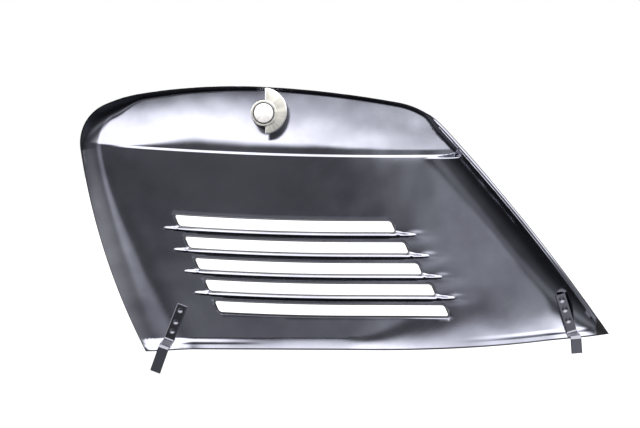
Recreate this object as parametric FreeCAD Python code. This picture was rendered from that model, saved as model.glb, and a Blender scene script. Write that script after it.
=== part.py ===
import FreeCAD, Part
import math
import os
from collections import namedtuple

# Scooter engine cover: a pressed sheet-steel door with five air slots, two welded hooks and a turn latch.
# Millimetres and degrees. X runs from the rounded front end to the pointed rear end, Z is up and
# Y points out of the scooter. The origin is where the latch axis crosses the plane of the rim.

# Sheet
SHEET = 0.9
FLOOR_DEPTH = 14.0

# Outline: a run of tangent arcs, clockwise from the toe, each given by its radius and its turn
TOE_X = -97.36
BOTTOM_Z = -191.8
TOE_HEADING = 116.46
FRONT_RADIUS = 515.0
FRONT_TURN = 18.96
NOSE_RADIUS = 34.8
NOSE_TURN = 72.0
BROW_RADIUS = 109.0
BROW_TURN = 16.8
CROWN_RADIUS = 485.0
CROWN_TURN = 12.1
ROOF_RADIUS = 840.0
ROOF_TURN = 6.9
SHOULDER_RADIUS = 65.4
SHOULDER_TURN = 36.8
REAR_RADIUS = 1543.0
BOTTOM_RISE_X = 80.0
BOTTOM_RISE_RADIUS = 1150.0

# Rolled rim: how far in from the edge the sheet starts to turn towards the inside, and how sharply
ROLL_POWER = 3.0
ROLL_FRONT = 52.0
ROLL_NOSE = 21.0
ROLL_BROW = 13.0
ROLL_TOP = 5.0
ROLL_ROOF = 3.6
ROLL_SHOULDER = 3.6
ROLL_REAR = 27.0
ROLL_CHANGE = 10.0
SHOULDER_BEND = 0.55
RIM_DEPTH_TOE = 4.5
FLANGE_WIDTH = 3.6
FLANGE_FALL = 0.8
EDGE_RUN_ON = 1.0

# Bottom edge: a narrow turned band, which grows into a wide slope at the rear, and the bead at its ends
ROLL_BOTTOM = 8.5
ROLL_BOTTOM_POWER = 1.2
ROLL_BOTTOM_REAR = 72.0
ROLL_REAR_POWER = 2.0
ROLL_GROW_X = 60.0
ROLL_GROWN_X = 215.0
LIP_WIDTH = 1.4
RIM_DEPTH_BOTTOM = 12.5
RIM_DEPTH_REAR = 7.2
RIM_SETTLE_X = -58.0
RIM_LEVEL_X = 60.0
RIM_REAR_X = 215.0
RIM_FALL_X = 222.0
BEAD_INSET = 6.2
BEAD_HALF_WIDTH = 2.2
BEAD_HEIGHT = 0.14
BEAD_LOSS_X = -60.0
BEAD_LOST_X = 10.0
BEAD_BACK_X = 150.0
BEAD_FULL_X = 235.0

# Upper bulge, the crease under it with its low step and ledge, and the fillet under the crease at the rear
CREASE_Z = -34.2
CREASE_LEVEL_X = 98.0
CREASE_BOW_RADIUS = 2857.0
STEP_HEIGHT = 0.4
STEP_WIDTH = 2.2
STEP_START_X = -132.0
STEP_FULL_X = -95.0
LEDGE_WIDTH = 3.7
LEDGE_START_X = -120.0
LEDGE_FULL_X = -50.0
BULGE_SLOPE = 0.187
BULGE_SLOPE_REAR = 0.083
BULGE_RUN = 41.0
BULGE_RUN_REAR = 75.0
BULGE_EASE_NOSE = 1.5
BULGE_EASE = 11.0
BULGE_EASE_REAR = 2.0
BULGE_FRONT_X = -50.0
BULGE_REAR_X = 120.0
FILLET_RISE = 0.4
FILLET_RUN = 14.0
FILLET_START_X = 55.0
FILLET_FULL_X = 105.0
FILLET_LAST_X = 122.0
FILLET_END_X = 142.0

# Air slots and the pressed ridge under each but the last
SLOT_COUNT = 5
SLOT_PITCH = 17.1
SLOT_HEIGHT = 8.6
SLOT_TOP_Z = -86.6
SLOT_FRONT_X = -74.0
SLOT_FRONT_STEP = 7.95
SLOT_REAR_X = 100.5
SLOT_REAR_STEP = 10.9
SLOT_END_SLANT = 3.8
SLOT_CORNER = 2.0
SLOT_LEVEL_X = 70.0
SLOT_BOW_RADIUS = 2100.0
RIDGE_HEIGHT = 3.0
RIDGE_DROP = 2.7
RIDGE_ABOVE = 4.0
RIDGE_BELOW = 2.6
RIDGE_FRONT_REACH = 9.0
RIDGE_REAR_REACH = 20.0
RIDGE_FRONT_TAPER = 28.0
RIDGE_REAR_TAPER = 34.0
RIDGE_TIP_WIDTH = 0.35

# Hooks: bent strips welded to the inside
HOOK_WIDTH = 8.4
HOOK_THICKNESS = 1.8
HOOK_BEND = 1.4
HOOK_FACE_Y = -10.0
HOOK_SEAT_GAP = 0.1
WELD_RADIUS = 2.6
WELD_DEPTH = 0.5
FRONT_HOOK_X = -68.6
FRONT_HOOK_UP = 36.4
FRONT_HOOK_LEAN = 21.0
FRONT_HOOK_STRIP = 31.5
FRONT_TONGUE_LEAN = 20.0
FRONT_TONGUE = 20.0
FRONT_WELDS = (4.0, 14.0, 22.0)
REAR_HOOK_X = 235.6
REAR_HOOK_UP = 47.6
REAR_HOOK_LEAN = -17.0
REAR_HOOK_STRIP = 33.0
REAR_TONGUE_LEAN = -5.0
REAR_TONGUE = 11.5
REAR_WELDS = (4.5, 12.5, 21.5)

# Turn latch
SPINDLE_RADIUS = 7.4
RUNNING_FIT = 0.06
PRESS_GAP = 0.02
HUB_RADIUS = 10.0
HUB_PROUD = 1.5
CAM_RADIUS = 18.0
CAM_OFFSET = 1.5
CAM_CUT_X = 1.0
CAM_THICKNESS = 4.0
CAM_CHAMFER = 0.8
CAM_GAP = 2.5
SPINDLE_PROUD = 0.4
RING_WIDTH = 1.1
RING_DEPTH = 0.55
RING_THICKNESS = 1.0
PIN_RADIUS = 1.5
PIN_INSET = 8.0
BUSH_RADIUS = 9.0
BUSH_FLANGE_RADIUS = 11.5
BUSH_FLANGE = 6.9
SPRING_RADIUS = 10.4
SPRING_BORE_GAP = 0.3
SPRING_HEIGHT = 2.4
SPRING_THICKNESS = 0.7
SPRING_GAP = 0.15
PAD_RADIUS = 12.0
PAD_THICKNESS = 3.0
KNOB_RADIUS = 11.5
KNOB_BASE = 4.0
KNOB_GAP = 0.3
WING_LENGTH = 22.0
WING_WIDTH = 7.0
WING_HEIGHT = 10.0
WING_ROUND = 2.5

# Control net of the two faces of the sheet: its margin past the edges and the places of its lines,
# as shares of the rolls, the flange, the bead, the last slot, the ridges, the panel, the step and the bulge
NET_MARGIN = 7.0
NET_MIDDLE_COLUMNS = 19
FRONT_SHARES = (0.06, 0.14, 0.25, 0.4, 0.65)
REAR_SHARES = (0.7, 0.45, 0.25, 0.1)
FLANGE_SHARES = (1.3, 0.7)
BEAD_SHARES = (-2.1, -1.0, -0.33, 0.33, 1.0, 2.5)
LAST_SLOT_SHARES = (0.7, 0.12)
SLOT_SHARES = (-0.5, 0.1)
RIDGE_SHARES_BELOW = (-0.9, -0.35)
RIDGE_SHARES_ABOVE = (0.2, 0.7)
PANEL_SHARES = (0.15, 0.4, 0.66, 0.84)
STEP_SHARES = (-1.9, -0.8, -0.3, 0.2, 0.8)
STEP_FOOT_SHARE = 1.2
BULGE_SHARES = (0.0, 0.08, 0.24, 0.45, 0.62, 0.755, 0.87, 0.93, 0.97, 1.0)
BULGE_LEAST = 22.0
SPLINE_DEGREE = 3

ALONG_Y = FreeCAD.Vector(0, 1, 0)
TO_INSIDE = FreeCAD.Vector(0, -1, 0)
FAR = 60.0
TINY = 1e-6

Arc = namedtuple("Arc", "cx cz radius first last")


def clamp(value):
    return min(1.0, max(0.0, value))


def smooth(value):
    t = clamp(value)
    return t * t * (3 - 2 * t)


def mix(a, b, share):
    return a + (b - a) * share


def on_arc(arc, angle):
    a = math.radians(angle)
    return arc.cx + arc.radius * math.cos(a), arc.cz + arc.radius * math.sin(a)


def bottom_z(x):
    """Height of the bottom edge: level, then rising to the rear tip on one arc."""
    run = max(0.0, x - BOTTOM_RISE_X)
    return BOTTOM_Z + BOTTOM_RISE_RADIUS - math.sqrt(BOTTOM_RISE_RADIUS ** 2 - run ** 2)


def edge_run():
    """The arcs of the front, top and rear edge, from the toe to the rear tip."""
    turns = [
        (FRONT_RADIUS, FRONT_TURN),
        (NOSE_RADIUS, NOSE_TURN),
        (BROW_RADIUS, BROW_TURN),
        (CROWN_RADIUS, CROWN_TURN),
        (ROOF_RADIUS, ROOF_TURN),
        (SHOULDER_RADIUS, SHOULDER_TURN),
    ]
    arcs = []
    x, z = TOE_X, BOTTOM_Z
    facing = TOE_HEADING + 90
    for radius, turn in turns:
        a = math.radians(facing)
        arc = Arc(x - radius * math.cos(a), z - radius * math.sin(a), radius, facing, facing - turn)
        arcs.append(arc)
        facing = arc.last
        x, z = on_arc(arc, facing)
    a = math.radians(facing)
    rear = Arc(x - REAR_RADIUS * math.cos(a), z - REAR_RADIUS * math.sin(a), REAR_RADIUS, facing, 0)
    high, low = rear.first, rear.last
    halvings = 60
    for _ in range(halvings):
        middle = (high + low) / 2
        x, z = on_arc(rear, middle)
        if z > bottom_z(x):
            high = middle
        else:
            low = middle
    arcs.append(rear._replace(last=low))
    return arcs


EDGE = edge_run()
FRONT_ARC, NOSE_ARC, BROW_ARC, CROWN_ARC, ROOF_ARC, SHOULDER_ARC, REAR_ARC = EDGE
TIP_X, TIP_Z = on_arc(REAR_ARC, REAR_ARC.last)


def nearest_edge(x, z):
    """Distance in from the edge (negative outside) and the way that the nearest edge faces."""
    best = None
    for arc in EDGE:
        angle = math.degrees(math.atan2(z - arc.cz, x - arc.cx)) % 360
        angle = min(arc.first, max(arc.last, angle))
        ex, ez = on_arc(arc, angle)
        away = math.hypot(ex - x, ez - z)
        a = math.radians(angle)
        inset = (ex - x) * math.cos(a) + (ez - z) * math.sin(a)
        if best is None or away < best[0]:
            best = (away, inset, angle)
    return best[1], best[2]


def between(stations, place):
    """Value at a place along stations of (place, value), eased from one to the next."""
    stations = sorted(stations)
    if place <= stations[0][0]:
        return stations[0][1]
    for (p, v), (q, w) in zip(stations, stations[1:]):
        if place <= q:
            return mix(v, w, smooth((place - p) / (q - p)))
    return stations[-1][1]


def crease_z(x):
    return CREASE_Z + (CREASE_LEVEL_X - x) ** 2 / (2 * CREASE_BOW_RADIUS)


def ledge(x):
    """Width of the flat ledge between the crease and the bulge."""
    return between([(LEDGE_START_X, 0.0), (LEDGE_FULL_X, LEDGE_WIDTH)], x)


def slot_top(number, x):
    run = max(0.0, SLOT_LEVEL_X - x)
    return SLOT_TOP_Z - number * SLOT_PITCH + run ** 2 / (2 * SLOT_BOW_RADIUS)


def slot_low(number, x):
    return slot_top(number, x) - SLOT_HEIGHT


def ridge_crest(number, x):
    return slot_low(number, x) - RIDGE_DROP


def ridge_rise(x, z):
    """Height of the pressed ridges above the floor, towards the inside."""
    rise = 0.0
    for number in range(SLOT_COUNT - 1):
        front_tip = SLOT_FRONT_X + number * SLOT_FRONT_STEP - RIDGE_FRONT_REACH
        rear_tip = SLOT_REAR_X + number * SLOT_REAR_STEP + RIDGE_REAR_REACH
        grown = min(clamp((x - front_tip) / RIDGE_FRONT_TAPER), clamp((rear_tip - x) / RIDGE_REAR_TAPER))
        width = mix(RIDGE_TIP_WIDTH, 1.0, grown)
        up = z - ridge_crest(number, x)
        q = up / (width * (RIDGE_ABOVE if up > 0 else RIDGE_BELOW))
        if abs(q) < 1:
            rise += RIDGE_HEIGHT * (1 - (1 - grown) ** 2) * (1 - q * q) ** 2
    return rise


def raised(x, z):
    """Y of the inner face away from its edges: the floor, the crease, the bulge above it and the ridges."""
    over_crease = z - crease_z(x)
    step = between([(STEP_START_X, 0.0), (STEP_FULL_X, STEP_HEIGHT)], x)
    y = FLOOR_DEPTH + step * smooth((over_crease + STEP_WIDTH / 2) / STEP_WIDTH)
    fillet = between([
        (FILLET_START_X, 0.0),
        (FILLET_FULL_X, FILLET_RISE),
        (FILLET_LAST_X, FILLET_RISE),
        (FILLET_END_X, 0.0),
    ], x)
    y += fillet * clamp(1 + over_crease / FILLET_RUN) ** 2

    run = between([(BULGE_FRONT_X, BULGE_RUN), (BULGE_REAR_X, BULGE_RUN_REAR)], x)
    slope = between([(BULGE_FRONT_X, BULGE_SLOPE), (BULGE_REAR_X, BULGE_SLOPE_REAR)], x)
    ease = between([
        (LEDGE_START_X, BULGE_EASE_NOSE),
        (BULGE_FRONT_X, BULGE_EASE),
        (BULGE_REAR_X, BULGE_EASE_REAR),
    ], x)
    past_ledge = max(0.0, over_crease - ledge(x))
    eased_run = past_ledge ** 2 / (2 * ease) if past_ledge < ease else past_ledge - ease / 2
    bulge = clamp(eased_run / run)
    y += slope * run / 2 * (1 - (1 - bulge) ** 2)
    return y - ridge_rise(x, z)


def depth(x, z):
    """Y of the inner face with its rolled rim, its flange and its turned bottom edge."""
    y = raised(x, z)
    inset, facing = nearest_edge(x, z)
    above = smooth((z - crease_z(x) + ROLL_CHANGE / 2) / ROLL_CHANGE)
    bend = mix(SHOULDER_ARC.first, SHOULDER_ARC.last, SHOULDER_BEND)
    roll = between([
        (FRONT_ARC.first, ROLL_FRONT),
        (NOSE_ARC.first, ROLL_NOSE),
        (NOSE_ARC.last, ROLL_BROW),
        (CROWN_ARC.first, ROLL_TOP),
        (ROOF_ARC.first, ROLL_ROOF),
        (bend, ROLL_ROOF),
        (SHOULDER_ARC.last, mix(ROLL_REAR, ROLL_SHOULDER, above)),
    ], facing)
    flange = between([(bend, 0.0), (SHOULDER_ARC.last, FLANGE_WIDTH)], facing)
    rim = between([(NOSE_ARC.last, 0.0), (FRONT_ARC.first, RIM_DEPTH_TOE)], facing)
    wall = y - rim
    y = mix(y, rim, (1 - clamp((inset - flange) / roll)) ** ROLL_POWER)
    y += FLANGE_FALL * clamp((flange - inset) / FLANGE_WIDTH)
    past_edge = EDGE_RUN_ON * clamp(-inset / EDGE_RUN_ON)
    y -= past_edge * wall * ROLL_POWER / roll * (1 - flange / FLANGE_WIDTH)

    up = z - bottom_z(x)
    low = between([
        (TOE_X, RIM_DEPTH_TOE),
        (RIM_SETTLE_X, RIM_DEPTH_BOTTOM),
        (RIM_LEVEL_X, RIM_DEPTH_BOTTOM),
        (RIM_REAR_X, RIM_DEPTH_REAR),
        (RIM_FALL_X, RIM_DEPTH_REAR),
        (TIP_X, FLANGE_FALL),
    ], x)
    roll_low = between([(ROLL_GROW_X, ROLL_BOTTOM), (ROLL_GROWN_X, ROLL_BOTTOM_REAR)], x)
    power = between([(ROLL_GROW_X, ROLL_BOTTOM_POWER), (ROLL_GROWN_X, ROLL_REAR_POWER)], x)
    y = mix(y, low, (1 - clamp((up - LIP_WIDTH) / roll_low)) ** power)
    bead = between([
        (BEAD_LOSS_X, BEAD_HEIGHT),
        (BEAD_LOST_X, 0.0),
        (BEAD_BACK_X, 0.0),
        (BEAD_FULL_X, BEAD_HEIGHT),
    ], x)
    q = (up - BEAD_INSET) / BEAD_HALF_WIDTH
    return y - bead * clamp(1 - q * q) ** 2 * clamp(inset / ROLL_REAR)


def normal(x, z):
    """Unit vector out of the inner face, towards the outside of the scooter."""
    nudge = 0.05
    slope_x = (depth(x + nudge, z) - depth(x - nudge, z)) / (2 * nudge)
    slope_z = (depth(x, z + nudge) - depth(x, z - nudge)) / (2 * nudge)
    return FreeCAD.Vector(-slope_x, 1, -slope_z).normalize()


def top_z(x):
    """Height of the top edge above x, or below everything where the edge has none."""
    for arc in EDGE[1:]:
        start = on_arc(arc, arc.first)[0]
        if arc is NOSE_ARC:
            start = arc.cx - arc.radius
        if start <= x <= on_arc(arc, arc.last)[0]:
            return arc.cz + math.sqrt(arc.radius ** 2 - (x - arc.cx) ** 2)
    return BOTTOM_Z


def front_x(z):
    return FRONT_ARC.cx - math.sqrt(FRONT_ARC.radius ** 2 - (z - FRONT_ARC.cz) ** 2)


def rear_x(z):
    return REAR_ARC.cx + math.sqrt(REAR_ARC.radius ** 2 - (z - REAR_ARC.cz) ** 2)


def column_x(column, z):
    """X of a column of the control net, which leans with the front and rear edges."""
    start, offset, share = column
    if start == "front":
        return front_x(z) + offset
    if start == "rear":
        return rear_x(z) - offset
    return mix(front_x(z) + ROLL_FRONT, rear_x(z) - FLANGE_WIDTH - ROLL_REAR, share)


def net_columns():
    """Columns of the control net: the edge that each follows, its distance in and its share of the middle."""
    front = [-NET_MARGIN, -EDGE_RUN_ON, 0.0]
    front += [ROLL_FRONT * share for share in FRONT_SHARES]
    rear = [FLANGE_WIDTH + ROLL_REAR * share for share in REAR_SHARES]
    rear += [FLANGE_WIDTH * share for share in FLANGE_SHARES]
    rear += [0.0, -NET_MARGIN]
    columns = [("front", offset, 0) for offset in front]
    columns += [("middle", 0, i / (NET_MIDDLE_COLUMNS - 1)) for i in range(NET_MIDDLE_COLUMNS)]
    columns += [("rear", offset, 0) for offset in rear]
    return columns


def net_rows(x):
    """Heights of the rows of the control net, which follow the bottom edge, the slots and the crease."""
    bottom = bottom_z(x)
    bead = bottom + BEAD_INSET
    heights = [bottom - NET_MARGIN, bottom]
    heights += [bead + BEAD_HALF_WIDTH * share for share in BEAD_SHARES]

    crease = crease_z(x)
    last_low = slot_low(SLOT_COUNT - 1, x)
    bank = [last_low - SLOT_HEIGHT * share for share in LAST_SLOT_SHARES]
    for number in reversed(range(SLOT_COUNT)):
        bank += [slot_top(number, x) + SLOT_HEIGHT * share for share in SLOT_SHARES]
        if number > 0:
            crest = ridge_crest(number - 1, x)
            bank += [crest + RIDGE_BELOW * share for share in RIDGE_SHARES_BELOW]
            bank += [crest + RIDGE_ABOVE * share for share in RIDGE_SHARES_ABOVE]
    bank += [mix(slot_top(0, x), crease, share) for share in PANEL_SHARES]
    squeeze = max(0.0, bottom - bottom_z(SLOT_REAR_X + SLOT_COUNT * SLOT_REAR_STEP))
    heights += [z + squeeze * (crease - z) / (crease - last_low) for z in bank]

    heights += [crease + STEP_WIDTH * share for share in STEP_SHARES]
    foot = crease + max(ledge(x), STEP_WIDTH * STEP_FOOT_SHARE)
    top = max(top_z(x), foot + BULGE_LEAST)
    heights += [mix(foot, top, share) for share in BULGE_SHARES]
    heights += [top + EDGE_RUN_ON, top + NET_MARGIN]
    return heights


def smooth_surface(net):
    """A clamped cubic spline surface with the net's points as its control points."""
    ends = [SPLINE_DEGREE + 1]

    def knots(count):
        spans = count - SPLINE_DEGREE
        return ends + [1] * (spans - 1) + ends, [float(i) for i in range(spans + 1)]

    u_mults, u_knots = knots(len(net))
    v_mults, v_knots = knots(len(net[0]))
    surface = Part.BSplineSurface()
    surface.buildFromPolesMultsKnots(
        net, u_mults, v_mults, u_knots, v_knots, False, False, SPLINE_DEGREE, SPLINE_DEGREE)
    return surface


def pressed_faces():
    """The inner and the outer face of the sheet, larger than the outline all round."""
    inner, outer = [], []
    settle = 5
    for column in net_columns():
        inner_line, outer_line = [], []
        for row in range(len(net_rows(0))):
            z = CREASE_Z
            for _ in range(settle):
                x = column_x(column, z)
                z = net_rows(x)[row]
            x = column_x(column, z)
            point = FreeCAD.Vector(x, depth(x, z), z)
            inner_line.append(point)
            outer_line.append(point + normal(x, z) * SHEET)
        inner.append(inner_line)
        outer.append(outer_line)
    return smooth_surface(inner), smooth_surface(outer)


def closed_sheet(inner, outer):
    u0, u1, v0, v1 = inner.bounds()
    faces = [inner.toShape(), outer.toShape()]
    for u in (u0, u1):
        faces.append(Part.makeRuledSurface(inner.uIso(u).toShape(), outer.uIso(u).toShape()))
    for v in (v0, v1):
        faces.append(Part.makeRuledSurface(inner.vIso(v).toShape(), outer.vIso(v).toShape()))
    shell = Part.makeShell(faces)
    shell.sewShape()
    solid = Part.makeSolid(shell)
    if solid.Volume < 0:
        solid.reverse()
    return solid


def at(x, z):
    return FreeCAD.Vector(x, 0, z)


def arc_edge(arc):
    places = [on_arc(arc, angle) for angle in (arc.first, (arc.first + arc.last) / 2, arc.last)]
    return Part.Arc(*[at(*place) for place in places]).toShape()


def outward(edges):
    """A prism from the plane of the rim to the outside on a closed run of edges."""
    return Part.Face(Part.Wire(edges)).extrude(ALONG_Y * FAR)


def through(edges):
    """A prism across the whole depth of the cover on a closed run of edges."""
    face = Part.Face(Part.Wire(edges))
    face.translate(TO_INSIDE * FAR)
    return face.extrude(ALONG_Y * 2 * FAR)


def outline_prism():
    edges = [arc_edge(arc) for arc in EDGE]
    tip = at(TIP_X, TIP_Z)
    rise = at(BOTTOM_RISE_X, BOTTOM_Z)
    half = mix(BOTTOM_RISE_X, TIP_X, 0.5)
    edges.append(Part.Arc(tip, at(half, bottom_z(half)), rise).toShape())
    edges.append(Part.LineSegment(rise, at(TOE_X, BOTTOM_Z)).toShape())
    return outward(edges)


def slot_prism(number):
    front = SLOT_FRONT_X + number * SLOT_FRONT_STEP
    rear = SLOT_REAR_X + number * SLOT_REAR_STEP
    stations = 7
    shares = [i / (stations - 1) for i in range(stations)]
    tops = [mix(front, rear, share) for share in shares]
    lows = [x + SLOT_END_SLANT for x in tops]
    top = Part.BSplineCurve()
    top.interpolate([at(x, slot_top(number, x)) for x in tops])
    low = Part.BSplineCurve()
    low.interpolate([at(x, slot_low(number, x)) for x in lows])
    front_end = Part.LineSegment(low.StartPoint, top.StartPoint)
    rear_end = Part.LineSegment(top.EndPoint, low.EndPoint)
    prism = through([top.toShape(), rear_end.toShape(), low.toShape(), front_end.toShape()])
    corners = [e for e in prism.Edges if abs(e.Length - 2 * FAR) < TINY]
    return prism.makeFillet(SLOT_CORNER, corners)


def round_bar(radius, y_from, y_to):
    return Part.makeCylinder(radius, y_to - y_from, FreeCAD.Vector(0, y_from, 0), ALONG_Y)


def ring(outer_radius, inner_radius, y_from, y_to):
    return round_bar(outer_radius, y_from, y_to).cut(round_bar(inner_radius, y_from, y_to))


def cover_panel(inner, outer):
    panel = closed_sheet(inner, outer).common(outline_prism())
    for number in range(SLOT_COUNT):
        panel = panel.cut(slot_prism(number))
    panel = panel.cut(round_bar(BUSH_RADIUS + PRESS_GAP, -FAR, FAR))
    return panel.Solids[0]


def face_y(face, x, z):
    """Y at which a line along Y through x and z meets a face of the sheet."""
    line = Part.LineSegment(FreeCAD.Vector(x, -FAR, z), FreeCAD.Vector(x, FAR, z)).toShape()
    return line.distToShape(face)[1][0][1].y


def hook(face, x, z, lean, strip, tongue_lean, tongue, welds):
    """A strip along the inner face, a step towards the inside and a tongue that hangs from it."""
    t = HOOK_THICKNESS
    half = HOOK_WIDTH / 2

    def lined(angle):
        a = math.radians(angle)
        down = FreeCAD.Vector(-math.sin(a), 0, -math.cos(a))
        over = FreeCAD.Vector(math.cos(a), 0, -math.sin(a))
        return down, over

    down, over = lined(lean)
    tongue_down, tongue_over = lined(tongue_lean)
    top = at(x, z)

    def sheet_y(along, across):
        spot = top + down * along + over * across
        return face_y(face, spot.x, spot.z)

    tilt = (sheet_y(strip, 0) - sheet_y(0, 0)) / strip
    stations = 8
    spots = [(strip * i / (stations - 1), side) for i in range(stations) for side in (-half, 0, half)]
    start = min(sheet_y(along, side) - tilt * along for along, side in spots) - HOOK_SEAT_GAP
    end = start + tilt * strip

    drop = strip + t + tongue
    section = [
        (0, start), (strip, end), (strip, HOOK_FACE_Y), (drop, HOOK_FACE_Y), (drop, HOOK_FACE_Y - t),
        (strip - t, HOOK_FACE_Y - t), (strip - t, end - t), (0, start - t),
    ]
    blank_width = 4 * HOOK_WIDTH
    corners = [top + down * along - over * (blank_width / 2) + ALONG_Y * y for along, y in section]
    blank = Part.Face(Part.makePolygon(corners + corners[:1])).extrude(over * blank_width)

    def bends(shape, numbers):
        points = [Part.Vertex(corners[number]) for number in numbers]
        return [e for e in shape.Edges if abs(e.Length - blank_width) < TINY
                and any(e.distToShape(point)[0] < TINY for point in points)]

    blank = blank.makeFillet(HOOK_BEND + t, bends(blank, (1, 5)))
    blank = blank.makeFillet(HOOK_BEND, bends(blank, (2, 6)))

    turn = top + down * (strip - t / 2)
    foot = turn + tongue_down * (tongue + t)
    plan = [
        top - over * half, top + over * half, turn + over * half,
        foot + tongue_over * half, foot - tongue_over * half, turn - over * half,
    ]
    sides = [Part.LineSegment(p, q).toShape() for p, q in zip(plan, plan[1:] + plan[:1])]
    piece = blank.common(through(sides))
    for along in welds:
        spot = top + down * along
        spot.y = start + tilt * along - t - WELD_RADIUS + WELD_DEPTH
        piece = piece.cut(Part.makeSphere(WELD_RADIUS, spot))
    return piece.Solids[0]


# Places of the latch along its axis: the pad's outer face, the bush's inner face and the hub's two ends
PAD_FACE = depth(0, 0) + SHEET + PAD_THICKNESS
BUSH_FACE = depth(0, 0) - BUSH_FLANGE
HUB_FRONT = -(CAM_GAP + CAM_THICKNESS + HUB_PROUD)
HUB_BACK = BUSH_FACE - SPRING_GAP - SPRING_HEIGHT
CAM_FACE = HUB_FRONT + HUB_PROUD


def latch_bush(inner):
    """Guide bush: its flange is cut to the sheet's inner face and its sleeve passes through the sheet."""
    outside = inner.toShape().extrude(ALONG_Y * FAR)
    flange = round_bar(BUSH_FLANGE_RADIUS, BUSH_FACE, PAD_FACE).cut(outside)
    bush = flange.fuse(round_bar(BUSH_RADIUS, BUSH_FACE, PAD_FACE))
    return bush.cut(round_bar(SPINDLE_RADIUS + RUNNING_FIT, -FAR, FAR)).removeSplitter().Solids[0]


def latch_pad(outer):
    """Pad under the knob, cut to the sheet's outer face."""
    inside = outer.toShape().extrude(TO_INSIDE * FAR)
    return ring(PAD_RADIUS, BUSH_RADIUS + PRESS_GAP, BUSH_FACE, PAD_FACE).cut(inside).Solids[0]


def drive_pin_hole(gap):
    length = 2 * FAR
    start = FreeCAD.Vector(0, HUB_FRONT + PIN_INSET, -length / 2)
    return Part.makeCylinder(PIN_RADIUS + gap, length, start, FreeCAD.Vector(0, 0, 1))


def latch_knob():
    """Knob with its wing outside the cover, in one piece with the spindle."""
    foot = PAD_FACE + KNOB_GAP
    base = round_bar(KNOB_RADIUS, foot, foot + KNOB_BASE)
    height = KNOB_BASE + WING_HEIGHT
    wing = Part.makeBox(
        WING_LENGTH, height, WING_WIDTH, FreeCAD.Vector(-WING_LENGTH / 2, foot, -WING_WIDTH / 2))
    wing = wing.makeFillet(WING_ROUND, [e for e in wing.Edges if abs(e.Length - height) < TINY])
    spindle = round_bar(SPINDLE_RADIUS, HUB_FRONT - SPINDLE_PROUD, foot)
    groove = ring(HUB_RADIUS, SPINDLE_RADIUS - RING_DEPTH, HUB_FRONT, HUB_FRONT + RING_THICKNESS)
    knob = base.fuse(wing).fuse(spindle).cut(groove).cut(drive_pin_hole(0.0))
    return knob.removeSplitter().Solids[0]


def latch_cam():
    """Half-moon plate on a hub; the plate's arc is set off the axis so that it draws the cover in."""
    plate = Part.makeCylinder(CAM_RADIUS, CAM_THICKNESS, FreeCAD.Vector(0, CAM_FACE, CAM_OFFSET), ALONG_Y)
    side = 4 * CAM_RADIUS
    plate = plate.cut(Part.makeBox(side, side, side, FreeCAD.Vector(CAM_CUT_X - side, -side / 2, -side / 2)))
    plate = plate.makeChamfer(CAM_CHAMFER, [e for e in plate.Edges if abs(e.BoundBox.YMax - CAM_FACE) < TINY])
    cam = plate.fuse(round_bar(HUB_RADIUS, HUB_FRONT, HUB_BACK))
    cam = cam.cut(round_bar(SPINDLE_RADIUS + RUNNING_FIT, -FAR, FAR))
    cam = cam.cut(round_bar(SPINDLE_RADIUS + RING_WIDTH + RUNNING_FIT, -FAR, HUB_FRONT + RING_THICKNESS))
    return cam.cut(drive_pin_hole(0.0)).removeSplitter().Solids[0]


def latch_ring():
    """Snap ring in the spindle's groove and the hub's recess."""
    front = HUB_FRONT + RUNNING_FIT
    back = HUB_FRONT + RING_THICKNESS - RUNNING_FIT
    return ring(SPINDLE_RADIUS + RING_WIDTH, SPINDLE_RADIUS - RING_DEPTH + RUNNING_FIT, front, back)


def latch_pin():
    return drive_pin_hole(-PRESS_GAP).common(round_bar(HUB_RADIUS, -FAR, FAR)).Solids[0]


def latch_spring():
    """Dished spring washer between the hub and the bush."""
    bore = SPINDLE_RADIUS + SPRING_BORE_GAP
    rim = HUB_BACK + SPRING_HEIGHT
    section = [
        FreeCAD.Vector(bore, HUB_BACK, 0),
        FreeCAD.Vector(SPRING_RADIUS, rim - SPRING_THICKNESS, 0),
        FreeCAD.Vector(SPRING_RADIUS, rim, 0),
        FreeCAD.Vector(bore, HUB_BACK + SPRING_THICKNESS, 0),
    ]
    blank = Part.Face(Part.makePolygon(section + section[:1]))
    return blank.revolve(FreeCAD.Vector(0, 0, 0), ALONG_Y, 360)


def build():
    inner, outer = pressed_faces()
    panel = cover_panel(inner, outer)
    face = inner.toShape()
    front = hook(face, FRONT_HOOK_X, BOTTOM_Z + FRONT_HOOK_UP, FRONT_HOOK_LEAN,
                 FRONT_HOOK_STRIP, FRONT_TONGUE_LEAN, FRONT_TONGUE, FRONT_WELDS)
    rear = hook(face, REAR_HOOK_X, BOTTOM_Z + REAR_HOOK_UP, REAR_HOOK_LEAN,
                REAR_HOOK_STRIP, REAR_TONGUE_LEAN, REAR_TONGUE, REAR_WELDS)
    return {
        "cover_panel": panel,
        "front_hook": front,
        "rear_hook": rear,
        "latch_bush": latch_bush(inner),
        "latch_pad": latch_pad(outer),
        "latch_knob": latch_knob(),
        "latch_cam": latch_cam(),
        "latch_ring": latch_ring(),
        "latch_pin": latch_pin(),
        "latch_spring": latch_spring(),
    }


os.makedirs("parts", exist_ok=True)
for name, shape in build().items():
    shape.exportStep("parts/" + name + ".step")
    box = shape.BoundBox
    print(name, shape.isValid(), round(shape.Volume), [round(v, 1) for v in (
        box.XMin, box.XMax, box.YMin, box.YMax, box.ZMin, box.ZMax)])
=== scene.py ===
# %% [markdown]
# A small scooter's engine door, seen from its inside
#
# The door is one pressed steel sheet with a dark dip coat, two bent strips welded on as hooks, and a
# bright turn latch. The packed model gives every piece its place and size. This script loads it as a
# fixed frame, and then builds finer pieces and finishes over it, one step at a time.

# %% Load the frame
import math
import random
from collections import namedtuple

import bmesh
import bpy
import numpy as np
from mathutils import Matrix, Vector
from mathutils.geometry import delaunay_2d_cdt


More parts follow.
